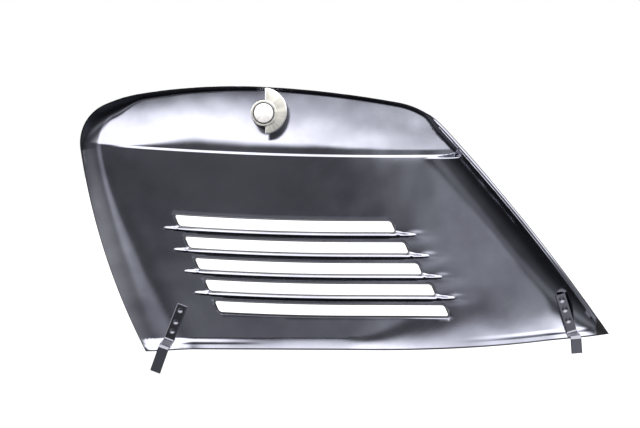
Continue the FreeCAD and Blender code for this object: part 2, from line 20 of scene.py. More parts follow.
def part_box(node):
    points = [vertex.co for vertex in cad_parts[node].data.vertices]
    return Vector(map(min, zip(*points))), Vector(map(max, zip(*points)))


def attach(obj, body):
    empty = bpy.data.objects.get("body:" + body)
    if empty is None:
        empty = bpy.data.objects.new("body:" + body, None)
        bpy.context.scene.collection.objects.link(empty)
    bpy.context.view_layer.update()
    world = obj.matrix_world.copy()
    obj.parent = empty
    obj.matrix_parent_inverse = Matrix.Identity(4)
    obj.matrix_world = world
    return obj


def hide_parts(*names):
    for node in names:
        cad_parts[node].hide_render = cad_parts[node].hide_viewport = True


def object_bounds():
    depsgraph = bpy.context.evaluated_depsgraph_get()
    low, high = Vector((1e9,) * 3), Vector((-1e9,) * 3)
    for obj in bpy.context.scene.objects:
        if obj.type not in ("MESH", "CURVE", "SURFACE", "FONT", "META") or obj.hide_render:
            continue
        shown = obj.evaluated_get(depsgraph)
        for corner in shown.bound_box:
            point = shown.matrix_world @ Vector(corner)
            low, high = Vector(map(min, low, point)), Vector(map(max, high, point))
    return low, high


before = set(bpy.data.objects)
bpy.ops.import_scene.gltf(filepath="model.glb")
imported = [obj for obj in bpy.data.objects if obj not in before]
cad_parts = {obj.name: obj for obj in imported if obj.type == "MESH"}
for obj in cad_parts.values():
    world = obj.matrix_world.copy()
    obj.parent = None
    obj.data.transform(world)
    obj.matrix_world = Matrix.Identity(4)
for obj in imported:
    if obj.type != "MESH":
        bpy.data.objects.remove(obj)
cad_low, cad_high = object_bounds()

MM = 0.001

# %% [markdown]
# The camera
#
# The photograph was taken from nearly straight in front of the open side, a little from the rear end and
# a little from above. The camera could be aimed by eye, but working it out from an azimuth, an elevation,
# a distance and the width that the picture spans keeps each number a thing that can be measured.

# %% Camera
AIM = Vector((0.0436, 0.008, -0.0802))
VIEW_AZIMUTH = 1.0
VIEW_ELEVATION = 5.0
VIEW_DISTANCE = 0.8
VIEW_WIDTH = 0.512
SENSOR = 36.0


def direction(azimuth, elevation):
    """Unit vector towards a place in the sky, where azimuth 0 lies along -Y and 90 along +X."""
    a = math.radians(azimuth)
    e = math.radians(elevation)
    return Vector((math.sin(a) * math.cos(e), -math.cos(a) * math.cos(e), math.sin(e)))


camera = bpy.data.objects.new("camera", bpy.data.cameras.new("camera"))
camera.data.sensor_width = SENSOR
camera.data.lens = SENSOR * VIEW_DISTANCE / VIEW_WIDTH
toward_camera = direction(VIEW_AZIMUTH, VIEW_ELEVATION)
camera.location = AIM + toward_camera * VIEW_DISTANCE
camera.rotation_euler = (-toward_camera).to_track_quat("-Z", "Y").to_euler()
bpy.context.scene.collection.objects.link(camera)
bpy.context.scene.camera = camera
print("camera: lens", round(camera.data.lens, 1), "mm")

# %% [markdown]
# A way to write shaders
#
# Every finish below is a small network of nodes. Placing nodes by hand makes long code in which the sums
# can't be read, so one class wraps a socket and lets Python's own signs stand for Math nodes: with it,
# 1 - mask adds the node that it looks like. All other nodes come from its one method, node.

# %% Shader helper
# The Mix node has sockets A, B and Result for each kind of value, so those for colours go by number.
COLOUR_FROM = 6
COLOUR_TO = 7
COLOUR_MADE = 2


class Wire:
    """A value on its way through a node tree. Sums and products of wires add Math nodes."""

    def __init__(self, tree, socket=None):
        self.tree = tree
        self.socket = socket

    def node(self, kind, settings=None, inputs=None, output=0):
        """Adds a node, sets it up, fills its sockets with numbers or wires, and returns one output."""
        made = self.tree.nodes.new(kind)
        for name, value in (settings or {}).items():
            setattr(made, name, value)
        for name, value in (inputs or {}).items():
            if isinstance(value, Wire):
                self.tree.links.new(value.socket, made.inputs[name])
            else:
                made.inputs[name].default_value = value
        return Wire(self.tree, made.outputs[output] if made.outputs else None)

    def math(self, operation, first, second=0.0):
        return self.node("ShaderNodeMath", {"operation": operation}, {0: first, 1: second})

    def __add__(self, other):
        return self.math("ADD", self, other)

    def __radd__(self, other):
        return self.math("ADD", other, self)

    def __sub__(self, other):
        return self.math("SUBTRACT", self, other)

    def __rsub__(self, other):
        return self.math("SUBTRACT", other, self)

    def __mul__(self, other):
        return self.math("MULTIPLY", self, other)

    def __rmul__(self, other):
        return self.math("MULTIPLY", other, self)

    def rise(self, start, end):
        """0 below start, 1 above end, with an eased slope between them."""
        return self.node(
            "ShaderNodeMapRange",
            {"interpolation_type": "SMOOTHSTEP"},
            {"Value": self, "From Min": start, "From Max": end},
        )

    def between(self, low, high):
        """This wire, from 0 to 1, as a share of the way from one colour to another."""
        sockets = {"Factor": self, COLOUR_FROM: low, COLOUR_TO: high}
        return self.node("ShaderNodeMix", {"data_type": "RGBA"}, sockets, output=COLOUR_MADE)

    def part(self, axis):
        """One coordinate of a vector."""
        return self.node("ShaderNodeSeparateXYZ", inputs={"Vector": self}, output=axis)

    def noise(self, scale, detail=2.0, roughness=0.5, stretch=None, turn=(0.0, 0.0, 0.0)):
        """Cloudy noise over a place vector, stretched and turned first if asked."""
        place = self
        if stretch:
            turned = self.node("ShaderNodeMapping", inputs={"Vector": self, "Rotation": turn})
            place = self.node("ShaderNodeMapping", inputs={"Vector": turned, "Scale": stretch})
        sockets = {"Vector": place, "Scale": scale, "Detail": detail, "Roughness": roughness}
        return self.node("ShaderNodeTexNoise", inputs=sockets)


def new_finish(name):
    """An empty material and the wire that its nodes start from."""
    material = bpy.data.materials.new(name)
    material.use_nodes = True
    material.node_tree.nodes.clear()
    return material, Wire(material.node_tree)


print("shader helper:", len(vars(Wire)), "entries in one class")

# %% [markdown]
# Light and floor
#
# A glossy dark sheet shows its surroundings more than its own colour. In the photograph all that faces up
# is nearly white, and what faces the lens is dark on the left and paler on the right. So the light is a
# broad bright sky, weaker low down on the right, over a dim room that is brightest a little right of the
# lens, with faint glows to the left and low down and some light behind for the outer face. Lamps could make
# it, but a world whose brightness depends on direction is smoother and free of noise. The lens itself sees
# plain white behind the object, and the floor is pale.

# %% World
SKY_RISE = (0.04, 0.24)
SKY_LIGHT = 4.2
SKY_SIDE = (0.135, 0.395)
SKY_SIDE_LOSS = 0.88
SKY_SIDE_TOP = (0.22, 0.42)
ROOM_DARK = 0.03
ROOM_LEFT = 0.145
ROOM_RIGHT = 0.70
ROOM_CHANGE = (0.005, 0.125)
ROOM_FADE = (0.155, 0.485)
ROOM_FADE_LOSS = 0.72
LEFT_GLOW = 0.13
LEFT_GLOW_START = (0.12, 0.50)
LEFT_GLOW_END = (0.55, 0.95)
LOW_GLOW = 0.28
LOW_GLOW_START = (0.07, 0.22)
LOW_GLOW_END = (0.30, 0.50)
ROOM_LOW = (-0.95, -0.20)
ROOM_AHEAD = (-0.20, 0.60)
BACK_LIGHT = 0.75
BACK_LEAST = 0.35
BACK_START = (0.25, 0.75)
BACK_SPREAD = (-0.8, 0.8)
ROOM_TINT = (0.92, 0.94, 1.0, 1.0)
WHITE = (1.0, 1.0, 1.0, 1.0)

bpy.context.scene.view_settings.view_transform = "Standard"
world = bpy.data.worlds.new("studio")
world.use_nodes = True
world.node_tree.nodes.clear()
bpy.context.scene.world = world
sky = Wire(world.node_tree)
toward = sky.node("ShaderNodeTexCoord", output="Generated")
overhead = toward.part("Z").rise(*SKY_RISE)
level = toward.part("Z").rise(*ROOM_LOW)
ahead = (toward.part("Y") * -1).rise(*ROOM_AHEAD)
low_sky = 1 - toward.part("Z").rise(*SKY_SIDE_TOP)
sky_side = toward.part("X").rise(*SKY_SIDE) * low_sky
room_side = toward.part("X").rise(*ROOM_CHANGE)
room_fade = toward.part("X").rise(*ROOM_FADE)
room_light = (room_side * (ROOM_RIGHT - ROOM_LEFT) + ROOM_LEFT) * (1 - room_fade * ROOM_FADE_LOSS)
leftward = toward.part("X") * -1
downward = toward.part("Z") * -1
left_glow = leftward.rise(*LEFT_GLOW_START) * (1 - leftward.rise(*LEFT_GLOW_END)) * LEFT_GLOW
low_glow = downward.rise(*LOW_GLOW_START) * (1 - downward.rise(*LOW_GLOW_END)) * LOW_GLOW
room_light = room_light + left_glow + low_glow
sky_light = overhead * (1 - sky_side * SKY_SIDE_LOSS) * SKY_LIGHT
back_side = toward.part("X").rise(*BACK_SPREAD) * (1 - BACK_LEAST) + BACK_LEAST
back_light = toward.part("Y").rise(*BACK_START) * back_side * BACK_LIGHT
brightness = sky_light + level * (ahead * room_light + back_light) + ROOM_DARK
tint = overhead.between(ROOM_TINT, WHITE)
room = sky.node("ShaderNodeBackground", inputs={"Color": tint, "Strength": brightness})
plain = sky.node("ShaderNodeBackground", inputs={"Color": WHITE, "Strength": 1.0})
seen = sky.node("ShaderNodeLightPath", output="Is Camera Ray")
mixed = sky.node("ShaderNodeMixShader", inputs={0: seen, 1: room, 2: plain})
sky.node("ShaderNodeOutputWorld", inputs={"Surface": mixed})
print("world:", len(world.node_tree.nodes), "nodes")

# %% Floor
FLOOR_SPAN = 6.0
FLOOR_GLOW = 0.78
FLOOR_COLOUR = (0.13, 0.13, 0.13, 1.0)

floor_finish, wire = new_finish("pale_floor")
glow = wire.node("ShaderNodeEmission", inputs={"Color": WHITE, "Strength": FLOOR_GLOW})
matt = wire.node("ShaderNodeBsdfDiffuse", inputs={"Color": FLOOR_COLOUR})
both = wire.node("ShaderNodeAddShader", inputs={0: glow, 1: matt})
wire.node("ShaderNodeOutputMaterial", inputs={"Surface": both})

half = FLOOR_SPAN / 2
floor_mesh = bpy.data.meshes.new("floor")
corners = [(-half, -half), (half, -half), (half, half), (-half, half)]
floor_mesh.from_pydata([(x, y, cad_low.z) for x, y in corners], [], [(0, 1, 2, 3)])
floor_mesh.materials.append(floor_finish)
floor = bpy.data.objects.new("floor", floor_mesh)
floor.visible_glossy = False
floor.visible_diffuse = False
bpy.context.scene.collection.objects.link(floor)
print("floor at", round(cad_low.z / MM, 1), "mm")

# %% [markdown]
# The form of the sheet
#
# The whole pressing is one height over the plane of the rim: a floor, a bulge along the top behind a
# crease, ridges under the slots, a bead along the bottom and a rim that rolls back to the plane. It could
# be sculpted or lofted, but a formula gives every point its exact height and slope. The outline and most
# sizes are those of the packed model. The hem, the grooves and the swells are added here, and a few slopes
# and rolls are set a little nearer to the photograph. Lengths here are millimetres.

# %% Outline of the sheet
TOE_X = -97.36
BOTTOM_Z = -191.8
TOE_HEADING = 116.46
TURNS = {
    "front": (515.0, 18.96),
    "nose": (34.8, 72.0),
    "brow": (109.0, 16.8),
    "crown": (485.0, 12.1),
    "roof": (840.0, 6.9),
    "shoulder": (65.4, 36.8),
}
REAR_RADIUS = 1543.0
BOTTOM_RISE_X = 80.0
BOTTOM_RISE_RADIUS = 1150.0
Arc = namedtuple("Arc", "cx cz radius first last")


def on_arc(arc, angle):
    a = np.radians(angle)
    return arc.cx + arc.radius * np.cos(a), arc.cz + arc.radius * np.sin(a)


def bottom_z(x):
    """Height of the bottom edge: level, then rising to the rear tip on one arc."""
    run = np.maximum(0.0, x - BOTTOM_RISE_X)
    return BOTTOM_Z + BOTTOM_RISE_RADIUS - np.sqrt(BOTTOM_RISE_RADIUS ** 2 - run ** 2)


def edge_run():
    """The arcs of the front, top and rear edge, by name, from the toe to the rear tip."""
    arcs = {}
    x, z = TOE_X, BOTTOM_Z
    facing = TOE_HEADING + 90
    for name, (radius, turn) in TURNS.items():
        a = math.radians(facing)
        arcs[name] = Arc(x - radius * math.cos(a), z - radius * math.sin(a), radius, facing, facing - turn)
        facing -= turn
        x, z = on_arc(arcs[name], facing)
    a = math.radians(facing)
    rear = Arc(x - REAR_RADIUS * math.cos(a), z - REAR_RADIUS * math.sin(a), REAR_RADIUS, facing, 0)
    high, low = facing, 0.0
    halvings = 60
    for _ in range(halvings):
        middle = (high + low) / 2
        x, z = on_arc(rear, middle)
        if z > bottom_z(x):
            high = middle
        else:
            low = middle
    arcs["rear"] = rear._replace(last=low)
    return arcs


EDGE = edge_run()
TIP_X, TIP_Z = on_arc(EDGE["rear"], EDGE["rear"].last)
print("outline: rear tip at", round(float(TIP_X), 1), round(float(TIP_Z), 1), "mm")

# %% Easing, and distance from the edge


def clamp(value):
    return np.clip(value, 0.0, 1.0)


def smooth(value):
    t = clamp(value)
    return t * t * (3 - 2 * t)


def mix(a, b, share):
    return a + (b - a) * share


def stations(places, at):
    """Value at a place along stations of (place, value), eased from one to the next."""
    places = sorted(places, key=lambda station: station[0])
    value = places[0][1] + 0.0 * at
    for (p, v), (q, w) in zip(places, places[1:]):
        value = np.where(at > p, mix(v, w, smooth((at - p) / (q - p))), value)
    return value


def nearest_edge(x, z):
    """Distance in from the edge and the way that the nearest edge faces, for arrays of places."""
    nearest = np.full(np.shape(x), np.inf)
    inset = np.zeros(np.shape(x))
    facing = np.zeros(np.shape(x))
    for arc in EDGE.values():
        angle = np.clip(np.degrees(np.arctan2(z - arc.cz, x - arc.cx)) % 360, arc.last, arc.first)
        ex, ez = on_arc(arc, angle)
        away = np.hypot(ex - x, ez - z)
        a = np.radians(angle)
        closer = away < nearest
        nearest = np.where(closer, away, nearest)
        inset = np.where(closer, (ex - x) * np.cos(a) + (ez - z) * np.sin(a), inset)
        facing = np.where(closer, angle, facing)
    return inset, facing


latch_inset = float(nearest_edge(0.0, 0.0)[0])
print("edge:", round(latch_inset, 1), "mm from the latch's axis")

# %% Crease and bulge
FLOOR_DEPTH = 14.0
CREASE_Z = -34.2
CREASE_LEVEL_X = 98.0
CREASE_BOW_RADIUS = 2857.0
STEP_HEIGHT = 0.4
STEP_WIDTH = 2.2
STEP_START_X = -132.0
STEP_FULL_X = -95.0
LEDGE_WIDTH = 3.7
LEDGE_START_X = -120.0
LEDGE_FULL_X = -50.0
BULGE_SLOPE = 0.187
BULGE_SLOPE_REAR = 0.076
BULGE_RUN = 41.0
BULGE_RUN_REAR = 75.0
BULGE_EASE_NOSE = 1.5
BULGE_EASE = 11.0
BULGE_EASE_REAR = 2.0
BULGE_FRONT_X = -50.0
BULGE_REAR_X = 120.0
FILLET_RISE = 0.4
FILLET_RUN = 14.0
FILLET_START_X = 55.0
FILLET_FULL_X = 105.0
FILLET_LAST_X = 122.0
FILLET_END_X = 142.0


def crease_z(x):
    return CREASE_Z + (CREASE_LEVEL_X - x) ** 2 / (2 * CREASE_BOW_RADIUS)


def ledge(x):
    """Width of the flat ledge between the crease and the bulge."""
    return stations([(LEDGE_START_X, 0.0), (LEDGE_FULL_X, LEDGE_WIDTH)], x)


def dish(x, z):
    """Y of the floor, with the step, fillet and bulge at the crease."""
    over_crease = z - crease_z(x)
    run = stations([(BULGE_FRONT_X, BULGE_RUN), (BULGE_REAR_X, BULGE_RUN_REAR)], x)
    slope = stations([(BULGE_FRONT_X, BULGE_SLOPE), (BULGE_REAR_X, BULGE_SLOPE_REAR)], x)
    ease = stations([
        (LEDGE_START_X, BULGE_EASE_NOSE),
        (BULGE_FRONT_X, BULGE_EASE),
        (BULGE_REAR_X, BULGE_EASE_REAR),
    ], x)
    past_ledge = np.maximum(0.0, over_crease - ledge(x))
    eased_run = np.where(past_ledge < ease, past_ledge ** 2 / (2 * ease), past_ledge - ease / 2)
    bulge = clamp(eased_run / run)
    fillet = stations([
        (FILLET_START_X, 0.0),
        (FILLET_FULL_X, FILLET_RISE),
        (FILLET_LAST_X, FILLET_RISE),
        (FILLET_END_X, 0.0),
    ], x)
    step = stations([(STEP_START_X, 0.0), (STEP_FULL_X, STEP_HEIGHT)], x)
    y = FLOOR_DEPTH + step * smooth(over_crease / STEP_WIDTH + 0.5)
    y = y + fillet * clamp(1 + over_crease / FILLET_RUN) ** 2
    return y + slope * run / 2 * (1 - (1 - bulge) ** 2)


print("dish:", round(float(dish(0.0, 0.0)), 2), "mm deep at the latch")

# %% Slots and ridges
SLOT_COUNT = 5
SLOT_PITCH = 17.1
SLOT_HEIGHT = 8.6
SLOT_TOP_Z = -86.6
SLOT_FRONT_X = -74.0
SLOT_FRONT_STEP = 7.95
SLOT_REAR_X = 100.5
SLOT_REAR_STEP = 10.9
SLOT_END_SLANT = 3.8
SLOT_CORNER = 2.0
SLOT_LEVEL_X = 70.0
SLOT_BOW_RADIUS = 2100.0
RIDGE_HEIGHT = 3.0
RIDGE_DROP = 2.7
RIDGE_ABOVE = 4.0
RIDGE_BELOW = 2.6
RIDGE_FRONT_REACH = 9.0
RIDGE_REAR_REACH = 20.0
RIDGE_FRONT_TAPER = 28.0
RIDGE_REAR_TAPER = 22.0
RIDGE_TIP_WIDTH = 0.35
SWELL_RISE = 0.62
SWELL_LENGTH = 11.0
SWELL_HEIGHT = 4.2
GROOVE_DEPTH = 0.14
GROOVE_HALF_WIDTH = 1.3
GROOVE_CLEAR = 0.3


def slot_top(number, x):
    run = np.maximum(0.0, SLOT_LEVEL_X - x)
    return SLOT_TOP_Z - number * SLOT_PITCH + run ** 2 / (2 * SLOT_BOW_RADIUS)


def slot_ends(number):
    """Places of a slot's front and rear end along X, at its top edge."""
    return SLOT_FRONT_X + number * SLOT_FRONT_STEP, SLOT_REAR_X + number * SLOT_REAR_STEP


def in_slot(number, x, z):
    """Places along a slot, with its slant taken out, and down it from its top edge."""
    v = slot_top(number, x) - z
    return x - SLOT_END_SLANT * v / SLOT_HEIGHT, v


def ridge_rise(x, z):
    """Height of the pressed ridges above the floor, with a low swell at each rear tip."""
    rise = 0.0
    for number in range(SLOT_COUNT - 1):
        front, rear = slot_ends(number)
        front_tip = front - RIDGE_FRONT_REACH
        rear_tip = rear + RIDGE_REAR_REACH
        front_share = clamp((x - front_tip) / RIDGE_FRONT_TAPER)
        grown = np.minimum(front_share, clamp((rear_tip - x) / RIDGE_REAR_TAPER))
        up = z - (slot_top(number, x) - SLOT_HEIGHT - RIDGE_DROP)
        q = up / (mix(RIDGE_TIP_WIDTH, 1.0, grown) * np.where(up > 0, RIDGE_ABOVE, RIDGE_BELOW))
        rise = rise + RIDGE_HEIGHT * (1 - (1 - grown) ** 2) * clamp(1 - q * q) ** 2
        from_tip = np.hypot((x - rear_tip) / SWELL_LENGTH, up / SWELL_HEIGHT)
        rise = rise + SWELL_RISE * np.exp(-from_tip ** 2)
    return rise


def slot_distance(x, z):
    """Distance to the rim of the nearest slot, negative inside it."""
    nearest = np.full(np.shape(x), np.inf)
    for number in range(SLOT_COUNT):
        u, v = in_slot(number, x, z)
        front, rear = slot_ends(number)
        past_end = np.abs(u - (front + rear) / 2) - (rear - front) / 2 + SLOT_CORNER
        past_side = np.abs(v - SLOT_HEIGHT / 2) - SLOT_HEIGHT / 2 + SLOT_CORNER
        away = np.hypot(np.maximum(past_end, 0.0), np.maximum(past_side, 0.0)) - SLOT_CORNER
        nearest = np.minimum(nearest, away)
    return nearest


print("slots:", SLOT_COUNT, "with", SLOT_COUNT - 1, "ridges between them")

# %% Rolled edges and the whole height
ROLL_POWER = 3.0
ROLL_FRONT = 52.0
ROLL_NOSE = 21.0
ROLL_BROW = 13.0
ROLL_TOP = 5.0
ROLL_ROOF = 3.6
ROLL_SHOULDER = 3.6
ROLL_REAR = 27.0
ROLL_CHANGE = 5.0
ROLL_BOTTOM = 8.5
ROLL_BOTTOM_POWER = 1.2
ROLL_BOTTOM_REAR = 72.0
ROLL_REAR_POWER = 2.0
ROLL_GROW_X = 60.0
ROLL_GROWN_X = 215.0
ROLL_SMOOTH_X = 90.0
SHOULDER_BEND = 0.55
LIP_WIDTH = 1.4
RIM_DEPTH_TOE = 4.5
RIM_DEPTH_BOTTOM = 12.5
RIM_DEPTH_REAR = 7.2
RIM_SETTLE_X = -58.0
RIM_LEVEL_X = 60.0
RIM_REAR_X = 215.0
RIM_FALL_X = 222.0
FLANGE_WIDTH = 3.6
FLANGE_FALL = 0.8
HEM_WIDTH = 2.1
HEM_GROOVE = 2.8
HEM_DIP = 0.3
BEAD_INSET = 6.2
BEAD_HALF_WIDTH = 2.2
BEAD_HEIGHT = 0.14
BEAD_LOSS_X = -60.0
BEAD_LOST_X = 10.0
BEAD_BACK_X = 150.0
BEAD_FULL_X = 235.0


def rolled_edge(y, x, z, inset, facing):
    """A face rolled back to the rim along its front, top and rear edges, with the hem at the rear."""
    above = smooth((z - crease_z(x)) / ROLL_CHANGE + 0.5)
    bend = mix(EDGE["shoulder"].first, EDGE["shoulder"].last, SHOULDER_BEND)
    roll = stations([
        (EDGE["front"].first, ROLL_FRONT),
        (EDGE["nose"].first, ROLL_NOSE),
        (EDGE["nose"].last, ROLL_BROW),
        (EDGE["crown"].first, ROLL_TOP),
        (EDGE["roof"].first, ROLL_ROOF),
        (bend, ROLL_ROOF),
        (EDGE["shoulder"].last, mix(ROLL_REAR, ROLL_SHOULDER, above)),
    ], facing)
    flange = stations([(bend, 0.0), (EDGE["shoulder"].last, FLANGE_WIDTH)], facing)
    rim = stations([(EDGE["nose"].last, 0.0), (EDGE["front"].first, RIM_DEPTH_TOE)], facing)
    y = mix(y, rim, (1 - clamp((inset - flange) / roll)) ** ROLL_POWER)
    hem = stations([
        (0.0, FLANGE_FALL),
        (HEM_WIDTH, 0.0),
        (HEM_GROOVE, HEM_DIP),
        (FLANGE_WIDTH, 0.0),
    ], inset)
    return y + hem * flange / FLANGE_WIDTH


def rolled_bottom(y, x, z, inset):
    """A face rolled back along its bottom edge, with the bead above it."""
    up = z - bottom_z(x)
    low = stations([
        (TOE_X, RIM_DEPTH_TOE),
        (RIM_SETTLE_X, RIM_DEPTH_BOTTOM),
        (RIM_LEVEL_X, RIM_DEPTH_BOTTOM),
        (RIM_REAR_X, RIM_DEPTH_REAR),
        (RIM_FALL_X, RIM_DEPTH_REAR),
        (TIP_X, FLANGE_FALL),
    ], x)
    roll_low = stations([(ROLL_GROW_X, ROLL_BOTTOM), (ROLL_GROWN_X, ROLL_BOTTOM_REAR)], x)
    power = stations([(ROLL_GROW_X, ROLL_BOTTOM_POWER), (ROLL_SMOOTH_X, ROLL_REAR_POWER)], x)
    y = mix(y, low, (1 - clamp((up - LIP_WIDTH) / roll_low)) ** power)
    q = (up - BEAD_INSET) / BEAD_HALF_WIDTH
    bead = stations([
        (BEAD_LOSS_X, BEAD_HEIGHT),
        (BEAD_LOST_X, 0.0),
        (BEAD_BACK_X, 0.0),
        (BEAD_FULL_X, BEAD_HEIGHT),
    ], x)
    return y - bead * clamp(1 - q * q) ** 2 * clamp(inset / ROLL_REAR)


def depth(x, z):
    """Y of the inner face: the dish, its ridges, the grooves round the slots, and the rolled edges."""
    ridge = ridge_rise(x, z)
    y = dish(x, z) - ridge
    q = slot_distance(x, z) / GROOVE_HALF_WIDTH - 1
    y = y + GROOVE_DEPTH * clamp(1 - q * q) ** 2 * clamp(1 - ridge / GROOVE_CLEAR)
    inset, facing = nearest_edge(x, z)
    return rolled_bottom(rolled_edge(y, x, z, inset, facing), x, z, inset)


def slopes(x, z):
    """Slopes of the inner face along X and along Z."""
    nudge = 0.03
    along_x = (depth(x + nudge, z) - depth(x - nudge, z)) / (2 * nudge)
    along_z = (depth(x, z + nudge) - depth(x, z - nudge)) / (2 * nudge)
    return along_x, along_z


latch_seat = float(depth(np.array([0.0]), np.array([0.0]))[0])
print("height: inner face", round(latch_seat, 2), "mm behind the rim at the latch")

# %% [markdown]
# The mesh of the sheet
#
# On the real door the sheet's edge is sheared and then dulled by its coat. The edge of the outline, of each
# slot and of the latch's hole is therefore a strip of its own, half round. An attribute marks these strips,
# a band round each slot and the fold at the rear tip for the finish, which makes them duller and paints
# them darker, partly for the dull cut and partly as painted shade. The faces between the strips could be a
# grid that is cut by booleans, but a triangulation of chosen points follows every edge and can be fine just
# where the form is sharp. Each point takes its normal from the formula, so the gloss is smooth however the
# triangles lie.

# %% Edge loops
EDGE_ROUND = 0.42
EDGE_TUCK = 0.03
LOOP_STEP = 1.25
ROUND_STEPS = 5
BUSH_HOLE = 9.02
HOLE_STEPS = 72
NICKS = 46
NICK_SEED = 5
NICK_PLACES = (0.34, 0.80)
NICK_WIDTHS = (1.2, 4.0)
NICK_SIZES = (0.02, 0.08)


def arc_points(arc):
    count = int(math.radians(arc.first - arc.last) * arc.radius / LOOP_STEP)
    angles = np.linspace(arc.last, arc.first, count, endpoint=False)
    return np.column_stack(on_arc(arc, angles))


def outline_loop():
    """The outline with the sheet on its left: along the bottom, up the rear edge and back over the top."""
    bottom = np.arange(TOE_X, TIP_X - LOOP_STEP / 2, LOOP_STEP)
    runs = [np.column_stack([bottom, bottom_z(bottom)])]
    runs += [arc_points(arc) for arc in reversed(list(EDGE.values()))]
    return np.vstack(runs)


def slot_loop(number):
    """One slot's rim with the sheet on its left: a rounded box, slanted and bowed into place."""
    front, rear = slot_ends(number)
    quarter = np.radians(np.linspace(0, 90, ROUND_STEPS))
    corner = SLOT_CORNER * np.column_stack([1 - np.cos(quarter), 1 - np.sin(quarter)])
    upper = np.arange(front + SLOT_CORNER, rear - SLOT_CORNER, LOOP_STEP)[1:]
    box = [(front + a, b) for a, b in corner]
    box += [(u, 0.0) for u in upper]
    box += [(rear - a, b) for a, b in corner[::-1]]
    box += [(rear - a, SLOT_HEIGHT - b) for a, b in corner]
    box += [(u, SLOT_HEIGHT) for u in upper[::-1]]
    box += [(front + a, SLOT_HEIGHT - b) for a, b in corner[::-1]]
    u, v = np.array(box).T
    x = u + SLOT_END_SLANT * v / SLOT_HEIGHT
    return np.column_stack([x, slot_top(number, x) - v])


def hole_loop():
    angles = np.linspace(0, -2 * math.pi, HOLE_STEPS, endpoint=False)
    return BUSH_HOLE * np.column_stack([np.cos(angles), np.sin(angles)])


def into_sheet(loop):
    """Vectors from each point of a loop into the sheet, mitred so that steps along them are even."""
    ahead = np.roll(loop, -1, axis=0) - loop
    ahead /= np.linalg.norm(ahead, axis=1)[:, None]
    left = np.column_stack([-ahead[:, 1], ahead[:, 0]])
    before = np.roll(left, 1, axis=0)
    total = left + before
    return total / (1 + np.sum(left * before, axis=1))[:, None]


def with_nicks(loop):
    """The outline with the small uneven places that handling leaves along its top and rear edges."""
    draw = random.Random(NICK_SEED)
    run = np.arange(len(loop)) * LOOP_STEP
    bite = np.full(len(loop), EDGE_TUCK)
    for _ in range(NICKS):
        place = draw.uniform(*NICK_PLACES) * run[-1]
        width = draw.uniform(*NICK_WIDTHS)
        size = draw.uniform(*NICK_SIZES)
        bite += size * np.exp(-((run - place) / width) ** 2)
    return loop + into_sheet(loop) * bite[:, None]


slot_loops = [slot_loop(number) for number in range(SLOT_COUNT)]
loops = [with_nicks(outline_loop()), *slot_loops, hole_loop()]
inward = [into_sheet(loop) for loop in loops]
rims = [loop + EDGE_ROUND * normal for loop, normal in zip(loops, inward)]
print("edges:", len(loops), "loops with", sum(map(len, loops)), "points")

# %% Points between the edges
EDGE_INSETS = (0.9, 1.4, 2.0, 2.6, 3.1, 3.5, 3.9, 4.5, 5.2, 6.0, 6.9, 7.9, 9.0, 10.2, 11.6, 13.2,
               15.0, 17.0, 19.0)
SLOT_INSETS = (0.85, 1.35, 1.9, 2.5)
COLUMN_STEP = 2.1
COARSE = 2.2
FINE = 0.55
BULGE_STEP = 1.5
CORNER_LOW = (118.0, -50.0)
CORNER_HIGH = (162.0, -22.0)
CORNER_INSET = 3.5
HOLE_ROOM = 1.5
RING_KEPT = 0.96
EDGE_ROOM = 0.8
SLOT_ROOM = 0.4


def edge_distance(x, z):
    """Distance to the outline, the bottom edge included."""
    return np.minimum(nearest_edge(x, z)[0], z - bottom_z(x))


def clear_of_slots(x, z, room):
    free = np.ones(len(x), bool)
    for number in range(SLOT_COUNT):
        u, v = in_slot(number, x, z)
        front, rear = slot_ends(number)
        free &= (u < front - room) | (u > rear + room) | (v < -room) | (v > SLOT_HEIGHT + room)
    return free


def clear_of_hole(x, z):
    return np.hypot(x, z) > BUSH_HOLE + HOLE_ROOM


def column_heights(x):
    """Heights of one column of points up the sheet, close together on the ridges and the crease."""
    bottom = float(bottom_z(x))
    bank_low = float(slot_top(SLOT_COUNT - 1, x)) - SLOT_HEIGHT - COARSE
    bank_high = float(slot_top(0, x)) + COARSE
    crease = float(crease_z(x))
    on_ridges = SLOT_FRONT_X - 2 * RIDGE_FRONT_REACH < x < SLOT_REAR_X + SLOT_COUNT * SLOT_REAR_STEP
    bead_high = bottom + BEAD_INSET + BEAD_HALF_WIDTH
    zones = [
        (bottom, bead_high, FINE),
        (bead_high, bank_low, COARSE),
        (bank_low, bank_high, FINE if on_ridges else COARSE),
        (bank_high, crease - STEP_WIDTH, COARSE),
        (crease - STEP_WIDTH, crease + LEDGE_WIDTH + STEP_WIDTH, FINE),
        (crease + LEDGE_WIDTH + STEP_WIDTH, cad_high.z / MM, BULGE_STEP),
    ]
    return np.concatenate([np.arange(low, high, step) for low, high, step in zones if high > low])


spread = []
for inset in EDGE_INSETS:
    ring = loops[0] + inset * inward[0]
    ring = ring[clear_of_hole(*ring.T)]
    spread.append(ring[edge_distance(*ring.T) > RING_KEPT * inset])
for loop, normal in zip(loops[1:-1], inward[1:-1]):
    spread += [loop + inset * normal for inset in SLOT_INSETS]
columns = np.arange(cad_low.x / MM, cad_high.x / MM, COLUMN_STEP)
grid = np.vstack([np.column_stack([np.full(len(heights), x), heights])
                  for x, heights in ((x, column_heights(x)) for x in columns)])
grid = grid[edge_distance(*grid.T) > EDGE_INSETS[-1] + EDGE_ROOM]
grid = grid[clear_of_slots(*grid.T, SLOT_INSETS[-1] + SLOT_ROOM)]
grid = grid[clear_of_hole(*grid.T)]
spread.append(grid)
corner_rows = np.mgrid[CORNER_LOW[0]:CORNER_HIGH[0]:FINE, CORNER_LOW[1]:CORNER_HIGH[1]:FINE]
corner_grid = corner_rows.reshape(2, -1).T
spread.append(corner_grid[edge_distance(*corner_grid.T) > CORNER_INSET])
print("points between the edges:", sum(map(len, spread)))

# %% Triangles of the sheet
INSIDE_RIMS = 1
SAME_PLACE = 1e-5


